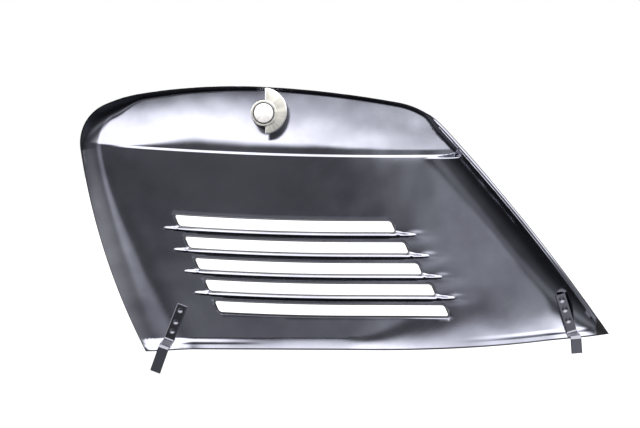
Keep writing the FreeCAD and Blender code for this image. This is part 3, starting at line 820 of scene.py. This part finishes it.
def triangulate(rims, spread):
    """Places of all points, and the triangles between the rims, with the slots and the hole left open."""
    points = np.vstack(rims + spread)
    edges = []
    owner = np.full(len(points), -1)
    start = 0
    for number, rim in enumerate(rims):
        indices = np.arange(start, start + len(rim))
        edges += list(zip(indices.tolist(), np.roll(indices, -1).tolist()))
        owner[indices] = number
        start += len(rim)
    places = [Vector(point) for point in points.tolist()]
    _, _, corners, origins, _, _ = delaunay_2d_cdt(places, edges, [], INSIDE_RIMS, SAME_PLACE)
    source = np.array([origin[0] for origin in origins])
    triangles = source[np.array(corners)]
    owners = owner[triangles]
    in_hole = (owners[:, 0] > 0) & (owners[:, 0] == owners[:, 1]) & (owners[:, 0] == owners[:, 2])
    return points, triangles[~in_hole]


points, triangles = triangulate(rims, spread)
print("triangles on one face:", len(triangles))

# %% Solid sheet
SHEET = 0.9
STRIP_STEPS = 4
# The band round each slot and the fold at the rear tip are made duller and painted darker, as painted
# shade.
CUT_AND_SHADE_REACH = 1.5
FOLD_LENGTH = 12.0
FOLD_FADE = 2.0


def unit(vectors):
    return vectors / np.linalg.norm(vectors, axis=-1, keepdims=True)


def sheet_mesh(name):
    """Both faces of the sheet and the half-round strips that join them, with the formula's normals."""
    x, z = points.T
    along_x, along_z = slopes(x, z)
    inner_y = depth(x, z)
    thick = SHEET * np.sqrt(1 + along_x ** 2 + along_z ** 2)
    face_normal = unit(np.column_stack([along_x, -np.ones(len(x)), along_z]))
    verts = [np.column_stack([x, inner_y, z]), np.column_stack([x, inner_y + thick, z])]
    normals = [face_normal, -face_normal]
    # Cut edges, a band round each slot and the fold at the rear tip: made duller, and painted darker partly
    # for the cut and partly as painted shade.
    cut_and_painted_shade = clamp((CUT_AND_SHADE_REACH - slot_distance(x, z)) / (CUT_AND_SHADE_REACH - EDGE_ROUND))
    cut_and_painted_shade = np.maximum(cut_and_painted_shade, smooth((x - TIP_X + FOLD_LENGTH) / FOLD_FADE))
    cut_and_painted_shade[:sum(map(len, rims))] = 1.0
    edge = [cut_and_painted_shade, cut_and_painted_shade]
    faces = [*triangles.tolist(), *(triangles[:, ::-1] + len(x)).tolist()]
    total = 2 * len(x)

    start = 0
    for loop, normal, rim in zip(loops, inward, rims):
        count = len(loop)
        at = np.arange(start, start + count)
        fall = along_x[at] * normal[:, 0] + along_z[at] * normal[:, 1]
        outward = unit(np.column_stack([-normal[:, 0], -fall, -normal[:, 1]]))
        rows = [at]
        for step in range(1, STRIP_STEPS):
            turn = math.pi * step / STRIP_STEPS
            reach = EDGE_ROUND * math.sin(turn)
            y = inner_y[at] + thick[at] * (1 - math.cos(turn)) / 2 - fall * reach
            place = rim - normal * reach
            verts.append(np.column_stack([place[:, 0], y, place[:, 1]]))
            normals.append(unit(math.cos(turn) * face_normal[at] + math.sin(turn) * outward))
            edge.append(np.ones(count))
            rows.append(np.arange(total, total + count))
            total += count
        rows.append(at + len(x))
        for row, later in zip(rows, rows[1:]):
            ring = np.column_stack([row, later, np.roll(later, -1), np.roll(row, -1)])
            faces += ring.tolist()
        start += count

    mesh = bpy.data.meshes.new(name)
    mesh.from_pydata((np.vstack(verts) * MM).tolist(), [], faces)
    mesh.shade_smooth()
    mesh.normals_split_custom_set_from_vertices(np.vstack(normals).tolist())
    # This attribute hands that mask of cut edges and painted shade to the finish.
    cut_and_shade_mask = mesh.attributes.new("cut_edge_and_shade", "FLOAT", "POINT")
    cut_and_shade_mask.data.foreach_set("value", np.concatenate(edge).astype(np.float32))
    return mesh


def add_piece(name, mesh, body, slot, *nodes):
    """Puts a mesh into the scene as a piece that rides on a body and stands for packed nodes."""
    piece = bpy.data.objects.new(name, mesh)
    bpy.context.scene.collection.objects.link(piece)
    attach(piece, body)
    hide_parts(*nodes)
    return piece


panel = add_piece("pressed_sheet", sheet_mesh("pressed_sheet"), "cover", "dark_coat", "cover_panel")
print("pressed sheet:", len(panel.data.vertices), "points,", len(panel.data.polygons), "faces")

# %% [markdown]
# The hooks
#
# Each hook is a strip of thicker steel: it lies on the sheet, where three spot welds leave dents, steps
# towards the inside over the rim, and ends in a tongue that hangs behind the lip of the body. A box with
# bends would do from afar. Sweeping a rounded section along the bent middle line gives true bends, and
# moving the points near a weld inwards gives the dents.

# %% Bent strips
HOOK_WIDTH = 8.4
HOOK_THICKNESS = 1.8
HOOK_ROUND = 0.5
BEND_STEPS = 9
ACROSS_STEPS = 20
MERGE_DISTANCE = 1e-7


def lined(angle):
    """The way down along a strip that leans by an angle, and the way across it."""
    a = math.radians(angle)
    return np.array([-math.sin(a), 0.0, -math.cos(a)]), np.array([math.cos(a), 0.0, -math.sin(a)])


def bent_line(corners, radius, step):
    """Points at even steps along straight runs whose corners are rounded by arcs."""
    places = [corners[0]]
    for before, corner, after in zip(corners, corners[1:], corners[2:]):
        back = unit(before - corner)
        on = unit(after - corner)
        turn = math.pi - math.acos(float(np.clip(back @ on, -1, 1)))
        tangent = radius * math.tan(turn / 2)
        centre = corner + unit(back + on) * radius / math.cos(turn / 2)
        first = corner + back * tangent - centre
        last = corner + on * tangent - centre
        for share in np.linspace(0, 1, BEND_STEPS):
            spoke = first * math.sin((1 - share) * turn) + last * math.sin(share * turn)
            places.append(centre + spoke / math.sin(turn))
    places.append(corners[-1])
    places = np.array(places)
    run = np.concatenate([[0.0], np.cumsum(np.linalg.norm(np.diff(places, axis=0), axis=1))])
    steps = np.linspace(0, run[-1], int(run[-1] / step))
    return np.column_stack([np.interp(steps, run, places[:, i]) for i in range(3)]), steps


def strip_section():
    """Rounded box across a strip, as pairs of place across and place through, from one corner round."""
    wide = HOOK_WIDTH / 2 - HOOK_ROUND
    thick = HOOK_THICKNESS / 2 - HOOK_ROUND
    quarter = np.radians(np.linspace(0, 90, ROUND_STEPS))
    corner = HOOK_ROUND * np.column_stack([np.cos(quarter), np.sin(quarter)])
    across = np.linspace(wide, -wide, ACROSS_STEPS)[1:-1]
    section = [(wide + a, thick + b) for a, b in corner]
    section += [(w, HOOK_THICKNESS / 2) for w in across]
    section += [(-wide - a, thick + b) for a, b in corner[::-1]]
    section += [(-wide - a, -thick - b) for a, b in corner]
    section += [(w, -HOOK_THICKNESS / 2) for w in across[::-1]]
    section += [(wide + a, -thick - b) for a, b in corner[::-1]]
    return np.array(section)


def mesh_from(name, verts, faces):
    """A closed mesh in metres from places in millimetres, with its faces turned outwards."""
    mesh = bpy.data.meshes.new(name)
    mesh.from_pydata((np.array(verts) * MM).tolist(), [], faces)
    bm = bmesh.new()
    bm.from_mesh(mesh)
    bmesh.ops.remove_doubles(bm, verts=bm.verts[:], dist=MERGE_DISTANCE)
    bmesh.ops.recalc_face_normals(bm, faces=bm.faces[:])
    bm.to_mesh(mesh)
    bm.free()
    return mesh


print("strip:", len(strip_section()), "points round its section")

# %% Hooks
HOOK_BEND = 2.3
HOOK_FACE_Y = -10.0
HOOK_SEAT_GAP = 0.1
HOOK_STEP = 0.45
SEAT_STEPS = 8
HOOK_SHARP = 50
WELD_RADIUS = 2.3
WELD_DEPTH = 0.3
WELD_POWER = 1.5
Hook = namedtuple("Hook", "node x z lean strip tongue_lean tongue welds")
HOOKS = [
    Hook("front_hook", -68.6, -155.4, 21.0, 31.5, 20.0, 20.0, (4.0, 14.0, 22.0)),
    Hook("rear_hook", 235.6, -144.2, -17.0, 33.0, -5.0, 11.5, (4.5, 12.5, 21.5)),
]


def hook_mesh(hook):
    """One bent strip, which rests on the sheet where that stands furthest in."""
    down, over = lined(hook.lean)
    tongue_down, tongue_over = lined(hook.tongue_lean)
    top = np.array([hook.x, 0.0, hook.z])
    out = np.array([0.0, 1.0, 0.0])

    along = np.linspace(0, hook.strip, SEAT_STEPS)
    sides = (-HOOK_WIDTH / 2, 0, HOOK_WIDTH / 2)
    spots = np.array([top + down * a + over * w for a in along for w in sides])
    sheet_y = depth(spots[:, 0], spots[:, 2])
    ends = np.array([top, top + down * hook.strip])
    first_y, last_y = depth(ends[:, 0], ends[:, 2])
    tilt = (last_y - first_y) / hook.strip
    resting = float(np.min(sheet_y - tilt * np.repeat(along, len(sides))))
    start = resting - HOOK_SEAT_GAP - HOOK_THICKNESS / 2
    turn = hook.strip - HOOK_THICKNESS / 2
    seat = top + down * turn
    inside = HOOK_FACE_Y - HOOK_THICKNESS / 2
    corners = [
        top + out * start,
        seat + out * (start + tilt * turn),
        seat + out * inside,
        seat + out * inside + tongue_down * (hook.tongue + HOOK_THICKNESS),
    ]
    line, run = bent_line(corners, HOOK_BEND, HOOK_STEP)
    forward = unit(np.gradient(line, axis=0))
    swing = smooth((run - turn) / (run[-1] - turn - hook.tongue))[:, None]
    across = unit(mix(over, tongue_over, swing))
    through = unit(np.cross(forward, across))
    section = strip_section()

    rings = []
    for number in range(len(line)):
        w, t = section.T.copy()
        for weld in hook.welds:
            near = ((run[number] - weld) ** 2 + w ** 2) / WELD_RADIUS ** 2
            t = t - np.where(section[:, 1] > 0, WELD_DEPTH * clamp(1 - near) ** WELD_POWER, 0.0)
        rings.append(line[number] + np.outer(w, across[number]) + np.outer(t, through[number]))
    verts = np.vstack(rings)
    size = len(section)
    faces = []
    for number in range(len(rings) - 1):
        here = number * size + np.arange(size)
        there = here + size
        faces += np.column_stack([here, np.roll(here, -1), np.roll(there, -1), there]).tolist()
    faces.append(list(range(size))[::-1])
    faces.append(list(range(len(verts) - size, len(verts))))
    mesh = mesh_from(hook.node, verts, faces)
    mesh.shade_smooth()
    mesh.set_sharp_from_angle(angle=math.radians(HOOK_SHARP))
    return mesh


hooks = []
for hook in HOOKS:
    hooks.append(add_piece(hook.node + "_strip", hook_mesh(hook), "cover", "dark_coat", hook.node))
print("hooks:", [len(hook.data.polygons) for hook in hooks], "faces")

# %% [markdown]
# The latch
#
# A turned spindle with a winged knob on its outer end carries a half-moon plate, which swings up behind the
# lip of the body. The real pieces come off a lathe and a mill, so they are made the same way here: turned
# forms are profiles spun about the axis, and booleans join the plate to its hub and drill the cross hole.
# Their outer corners are eased a little, because an edge with no radius catches no light.

# %% Turned forms
TURN_STEPS = 96
TURN_SHARP = 32
EASE = 0.22
EASE_STEPS = 4


def eased(corners, radius):
    """A closed run of corners in a plane, each one rounded. Corners on the axis stay as they are."""
    corners = [np.array(corner, float) for corner in corners]
    run = []
    for number, corner in enumerate(corners):
        if corner[0] == 0:
            run.append(corner)
            continue
        back = unit(corners[number - 1] - corner)
        on = unit(corners[(number + 1) % len(corners)] - corner)
        for share in np.linspace(0, 1, EASE_STEPS):
            run.append(corner + radius * (back * (1 - share) ** 2 + on * share ** 2))
    return run


def turned(name, profile):
    """A profile of (radius, y) pairs spun about the latch's axis."""
    radius, y = np.array(profile).T
    verts = []
    for angle in np.linspace(0, 2 * math.pi, TURN_STEPS, endpoint=False):
        verts += np.column_stack([radius * math.cos(angle), y, radius * math.sin(angle)]).tolist()
    size = len(radius)
    faces = []
    for step in range(TURN_STEPS):
        here = step * size
        there = (step + 1) % TURN_STEPS * size
        for i in range(size):
            j = (i + 1) % size
            if radius[i] > 0 or radius[j] > 0:
                faces.append([here + i, here + j, there + j, there + i])
    return mesh_from(name, verts, faces)


def stacked(name, loops):
    """Loops with equal counts of points, skinned one to the next and closed at both ends."""
    size = len(loops[0])
    faces = [list(range(size)), list(range((len(loops) - 1) * size, len(loops) * size))]
    for level in range(len(loops) - 1):
        here = level * size
        there = here + size
        for i in range(size):
            j = (i + 1) % size
            faces.append([here + i, here + j, there + j, there + i])
    return mesh_from(name, np.vstack(loops), faces)


def combined(name, first, steps):
    """A mesh after a row of boolean steps, each a pair of an operation and a second mesh."""
    body = bpy.data.objects.new(name, first)
    bpy.context.scene.collection.objects.link(body)
    tools = []
    for operation, mesh in steps:
        tool = bpy.data.objects.new(name + "_tool", mesh)
        bpy.context.scene.collection.objects.link(tool)
        step = body.modifiers.new(operation, "BOOLEAN")
        step.operation = operation
        step.solver = "EXACT"
        step.object = tool
        tools.append(tool)
    result = bpy.data.meshes.new_from_object(body.evaluated_get(bpy.context.evaluated_depsgraph_get()))
    for used in [body, *tools]:
        bpy.data.objects.remove(used)
    result.name = name
    result.shade_smooth()
    result.set_sharp_from_angle(angle=math.radians(TURN_SHARP))
    return result


print("turned forms:", TURN_STEPS, "steps round")

# %% Half-moon
SPINDLE_RADIUS = 7.4
RUNNING_FIT = 0.06
HUB_RADIUS = 10.0
HUB_FRONT = -8.0
CAM_RADIUS = 18.0
CAM_OFFSET = 1.5
CAM_CUT_X = 1.0
CAM_FACE = -6.5
CAM_THICKNESS = 4.0
CAM_CHAMFER = 0.8
CAM_STEPS = 80
RING_WIDTH = 1.1
RING_THICKNESS = 1.0
PIN_RADIUS = 1.5
PIN_INSET = 8.0
FAR = 60.0
hub_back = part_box("latch_spring")[0].y / MM


def half_moon(inset, y):
    """The plate's outline at one depth: an arc and its chord, drawn in by an inset."""
    radius = CAM_RADIUS - inset
    swing = math.acos((CAM_CUT_X + inset) / radius)
    angles = np.linspace(-swing, swing, CAM_STEPS)
    high = CAM_OFFSET + radius * np.sin(angles)
    arc = np.column_stack([radius * np.cos(angles), np.full(CAM_STEPS, y), high])
    chord = np.linspace(arc[-1], arc[0], CAM_STEPS // 4)[1:-1]
    return np.vstack([arc, chord])


def cross_hole():
    """Round tool along Z for the pin that locks the half-moon to the spindle."""
    angles = np.linspace(0, 2 * math.pi, TURN_STEPS // 2, endpoint=False)
    ends = []
    for z in (-FAR, FAR):
        ends.append(np.column_stack([
            PIN_RADIUS * np.cos(angles),
            HUB_FRONT + PIN_INSET + PIN_RADIUS * np.sin(angles),
            np.full(len(angles), z),
        ]))
    return stacked("cross_hole", ends)


plate = stacked("plate", [
    half_moon(CAM_CHAMFER + EASE, CAM_FACE),
    half_moon(CAM_CHAMFER - EASE / 4, CAM_FACE + EASE / 4),
    half_moon(EASE / 4, CAM_FACE + CAM_CHAMFER - EASE / 4),
    half_moon(0.0, CAM_FACE + CAM_CHAMFER + EASE),
    half_moon(0.0, CAM_FACE + CAM_THICKNESS - EASE),
    half_moon(EASE, CAM_FACE + CAM_THICKNESS),
])
hub = turned("hub", eased([
    (0, HUB_FRONT), (HUB_RADIUS, HUB_FRONT), (HUB_RADIUS, hub_back), (0, hub_back)], EASE))
recess = SPINDLE_RADIUS + RING_WIDTH + RUNNING_FIT
running = SPINDLE_RADIUS + RUNNING_FIT
ring_back = HUB_FRONT + RING_THICKNESS
bore = turned("bore", [
    (0, -FAR), (recess, -FAR), (recess, ring_back), (running, ring_back), (running, FAR), (0, FAR)])
cam_steps = [("UNION", hub), ("DIFFERENCE", bore), ("DIFFERENCE", cross_hole())]
cam = add_piece("half_moon", combined("half_moon", plate, cam_steps), "latch", "bright_plate", "latch_cam")
print("half-moon:", len(cam.data.polygons), "faces")

# %% Spindle with its knob, and snap ring
SPINDLE_PROUD = 0.4
RING_DEPTH = 0.55
KNOB_RADIUS = 11.5
KNOB_BASE = 4.0
WING_LENGTH = 22.0
WING_WIDTH = 7.0
WING_HEIGHT = 10.0
WING_ROUND = 2.5
WING_EASE = 0.8
WING_EASE_SHARE = 0.3
knob_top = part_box("latch_knob")[1].y / MM
knob_face = knob_top - WING_HEIGHT
knob_foot = knob_face - KNOB_BASE


def wing_loop(inset, y):
    corners = [
        (-WING_LENGTH / 2 + inset, -WING_WIDTH / 2 + inset),
        (WING_LENGTH / 2 - inset, -WING_WIDTH / 2 + inset),
        (WING_LENGTH / 2 - inset, WING_WIDTH / 2 - inset),
        (-WING_LENGTH / 2 + inset, WING_WIDTH / 2 - inset),
    ]
    return np.array([(x, y, z) for x, z in eased(corners, WING_ROUND)])


groove = SPINDLE_RADIUS - RING_DEPTH
spindle_end = HUB_FRONT - SPINDLE_PROUD
spindle = turned("spindle", eased([
    (0, spindle_end), (SPINDLE_RADIUS, spindle_end), (SPINDLE_RADIUS, HUB_FRONT), (groove, HUB_FRONT),
    (groove, ring_back), (SPINDLE_RADIUS, ring_back), (SPINDLE_RADIUS, knob_foot),
    (KNOB_RADIUS, knob_foot), (KNOB_RADIUS, knob_face), (0, knob_face)], EASE / 2))
wing = stacked("wing", [
    wing_loop(0, knob_foot + EASE),
    wing_loop(0, knob_top - WING_EASE),
    wing_loop(WING_EASE * WING_EASE_SHARE, knob_top - WING_EASE * WING_EASE_SHARE),
    wing_loop(WING_EASE, knob_top),
])
knob_steps = [("UNION", wing), ("DIFFERENCE", cross_hole())]
knob = add_piece("knob", combined("knob", spindle, knob_steps), "latch", "bright_plate", "latch_knob")

ring_inside = groove + RUNNING_FIT
ring_outside = SPINDLE_RADIUS + RING_WIDTH
ring_profile = [
    (ring_inside, HUB_FRONT + RUNNING_FIT), (ring_outside, HUB_FRONT + RUNNING_FIT),
    (ring_outside, ring_back - RUNNING_FIT), (ring_inside, ring_back - RUNNING_FIT)]
ring_mesh = combined("snap_ring", turned("snap_ring", eased(ring_profile, EASE)), [])
snap_ring = add_piece("snap_ring", ring_mesh, "latch", "dark_steel", "latch_ring")
print("knob and ring:", len(knob.data.polygons), "and", len(snap_ring.data.polygons), "faces")

# %% [markdown]
# The dark coat
#
# The sheet and the hooks have a thin black coat that keeps the gloss and the blue-grey cast of the steel
# below it. A plain dark paint would show only one weak reflection, so the coat is written as a dark metal
# with a fairly smooth skin. Cloudy changes of roughness, fine slanted wipe marks, a slight orange peel and
# slow waves break up the gloss. The cut edges, with a narrow band round each slot, and the fold at the rear
# tip are dull, and they are painted darker: the cut edges partly for their dull coat and partly as painted
# shade, the bands and the fold as painted shade. The hooks get a darker copy of the coat, which is painted
# shade.

# %% Dark coat
COAT_DARK = (0.20, 0.20, 0.235, 1.0)
COAT_PALE = (0.27, 0.275, 0.31, 1.0)
# Painted shade: the hooks wear a darker copy of the sheet's coat, in place of the dark reflections that
# their tilted faces show.
HOOK_SHADED_DARK = (0.10, 0.10, 0.118, 1.0)
HOOK_SHADED_PALE = (0.14, 0.14, 0.158, 1.0)
# Painted shade, partly the dull cut's own tone: the colour of the cut edges, slot bands and rear fold.
COAT_CUT_AND_SHADE = (0.03, 0.028, 0.03, 1.0)
CUT_ROUGH = 0.35
COAT_METAL = 1.0
COAT_ROUGH = 0.12
COAT_ROUGH_SPREAD = 0.06
CLOUD_SCALE = 14.0
NOISE_MIDDLE = 0.5
NOISE_SPAN = (0.3, 0.7)
WIPE_TURN = (0.0, math.radians(38), 0.0)
WIPE_STRETCH = (30.0, 30.0, 1100.0)
PEEL_SCALE = 700.0
PEEL_DEPTH = 0.00002
PEEL_SHARE = 0.5
WIPE_SHARE = 0.1
PEEL_STRENGTH = 0.5
WAVE_SCALE = 24.0
WAVE_DEPTH = 0.0007


def dark_coat(name, dark, pale):
    """Black coat over steel, rougher and painted darker where the mesh's attribute marks the sheet's edges,
    the slot bands and the rear fold, partly for their own tone and partly as painted shade.
    """
    material, wire = new_finish(name)
    place = wire.node("ShaderNodeTexCoord", output="Object")
    cloud = place.noise(CLOUD_SCALE, detail=4.0, roughness=0.6)
    wipe = place.noise(1.0, detail=3.0, stretch=WIPE_STRETCH, turn=WIPE_TURN)
    peel = place.noise(PEEL_SCALE, detail=2.0)
    colour = cloud.rise(*NOISE_SPAN).between(dark, pale)
    cut_and_shade_mask = wire.node("ShaderNodeAttribute", {"attribute_name": "cut_edge_and_shade"}, output="Fac")
    # Painted shade: the marked edges, slot bands and rear fold are darkened, partly for the dull cut.
    colour = cut_and_shade_mask.between(colour, COAT_CUT_AND_SHADE)
    cloudy = (cloud - NOISE_MIDDLE) * COAT_ROUGH_SPREAD
    wiped = (wipe - NOISE_MIDDLE) * COAT_ROUGH_SPREAD
    rough = COAT_ROUGH + cloudy + wiped + cut_and_shade_mask * CUT_ROUGH
    height = peel * PEEL_SHARE + wipe * WIPE_SHARE
    wave = place.noise(WAVE_SCALE, detail=1.0)
    waves = wire.node("ShaderNodeBump", inputs={"Height": wave, "Strength": 1.0, "Distance": WAVE_DEPTH})
    bump = wire.node("ShaderNodeBump", inputs={
        "Height": height, "Strength": PEEL_STRENGTH, "Distance": PEEL_DEPTH, "Normal": waves})
    shader = wire.node("ShaderNodeBsdfPrincipled", inputs={
        "Base Color": colour, "Metallic": COAT_METAL, "Roughness": rough, "Normal": bump})
    wire.node("ShaderNodeOutputMaterial", inputs={"Surface": shader})
    return material


def dress(pieces, material):
    """Gives each piece one finish in place of any that it has."""
    for piece in pieces:
        piece.data.materials.clear()
        piece.data.materials.append(material)


coat = dark_coat("dark_coat", COAT_DARK, COAT_PALE)
# Painted shade: the hooks get the same coat in darker colours.
painted_shade_hook_coat = dark_coat("painted_shade_hook_coat", HOOK_SHADED_DARK, HOOK_SHADED_PALE)
dress([panel], coat)
dress(hooks, painted_shade_hook_coat)
print("dark coat on", 1 + len(hooks), "pieces")

# %% [markdown]
# The bright and dark metals
#
# The half-moon and the spindle are plated steel. The plate was faced on a lathe. A painted sheen fans out
# from the axis over its face, and its roughness changes along the same fan; its chamfer, sides and back are
# painted in a near-white highlight colour. The spindle, in one piece with the knob, is paler, with the same
# painted sheen and highlight. The bush, pin, ring and spring are blackened steel, and the pad under the
# knob is rubber.

# %% Plated and blackened metal, rubber
PLATE_WARM = (0.54, 0.52, 0.47, 1.0)
PLATE_GREY = (0.38, 0.37, 0.34, 1.0)
# Painted highlight: the near-white colour of the chamfer, sides and back.
PLATE_EDGE_HIGHLIGHT = (0.97, 0.97, 0.95, 1.0)
EDGE_FACING = (0.80, 0.95)
KNOB_WARM = (0.82, 0.80, 0.77, 1.0)
KNOB_GREY = (0.70, 0.68, 0.66, 1.0)
PLATE_METAL = 0.75
PLATE_ROUGH = 0.38
PLATE_ROUGH_SPREAD = 0.3
FAN_SCALE = 3.2
OFF_AXIS = (1.0, 0.0, 1.0)
STEEL_DARK = (0.05, 0.05, 0.055, 1.0)
STEEL_PALE = (0.10, 0.10, 0.105, 1.0)
STEEL_METAL = 0.9
STEEL_ROUGH = 0.35
STEEL_GRAIN = 300.0
RUBBER_DARK = (0.02, 0.02, 0.02, 1.0)
RUBBER_PALE = (0.035, 0.034, 0.033, 1.0)
RUBBER_METAL = 0.0
RUBBER_ROUGH = 0.75
RUBBER_GRAIN = 500.0
GRAIN_ROUGH_SPREAD = 0.2


def plated(name, grey, warm):
    """Turned and plated steel, with painted sheen fanning out on its inner face and a painted highlight
    colour elsewhere.
    """
    material, wire = new_finish(name)
    place = wire.node("ShaderNodeTexCoord", output="Object")
    flat = wire.node("ShaderNodeVectorMath", {"operation": "MULTIPLY"}, {0: place, 1: OFF_AXIS})
    ray = wire.node("ShaderNodeVectorMath", {"operation": "NORMALIZE"}, {0: flat})
    lathe_fan_and_painted_sheen = ray.noise(FAN_SCALE, detail=2.0, roughness=0.6)
    facing = wire.node("ShaderNodeTexCoord", output="Normal")
    level = -1.0 * facing.part("Y")
    # Painted sheen: colour fanning from grey to warm over the face; the same fan also varies the roughness.
    face = lathe_fan_and_painted_sheen.rise(*NOISE_SPAN).between(grey, warm)
    # Painted highlight: the chamfer, sides and back take the near-white colour.
    colour = level.rise(*EDGE_FACING).between(PLATE_EDGE_HIGHLIGHT, face)
    rough = PLATE_ROUGH + (lathe_fan_and_painted_sheen - NOISE_MIDDLE) * PLATE_ROUGH_SPREAD
    shader = wire.node("ShaderNodeBsdfPrincipled", inputs={
        "Base Color": colour, "Metallic": PLATE_METAL, "Roughness": rough})
    wire.node("ShaderNodeOutputMaterial", inputs={"Surface": shader})
    return material


def grained(name, dark, pale, metal, rough, scale):
    """A plain finish with cloudy changes of tone."""
    material, wire = new_finish(name)
    cloud = wire.node("ShaderNodeTexCoord", output="Object").noise(scale, detail=3.0)
    shader = wire.node("ShaderNodeBsdfPrincipled", inputs={
        "Base Color": cloud.rise(*NOISE_SPAN).between(dark, pale),
        "Metallic": metal,
        "Roughness": rough + (cloud - NOISE_MIDDLE) * GRAIN_ROUGH_SPREAD,
    })
    wire.node("ShaderNodeOutputMaterial", inputs={"Surface": shader})
    return material


plate_finish = plated("bright_plate", PLATE_GREY, PLATE_WARM)
knob_finish = plated("pale_plate", KNOB_GREY, KNOB_WARM)
black_steel = grained("dark_steel", STEEL_DARK, STEEL_PALE, STEEL_METAL, STEEL_ROUGH, STEEL_GRAIN)
rubber = grained("black_rubber", RUBBER_DARK, RUBBER_PALE, RUBBER_METAL, RUBBER_ROUGH, RUBBER_GRAIN)
dress([cam], plate_finish)
dress([knob], knob_finish)
dress([snap_ring], black_steel)
NODE_FINISHES = {
    "latch_bush": black_steel,
    "latch_pin": black_steel,
    "latch_spring": black_steel,
    "latch_pad": rubber,
}
for node, finish in NODE_FINISHES.items():
    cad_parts[node].material_slots[0].material = finish
all_finishes = (coat, painted_shade_hook_coat, plate_finish, knob_finish, black_steel, rubber)
print("finishes:", [finish.name for finish in all_finishes])

# %% [markdown]
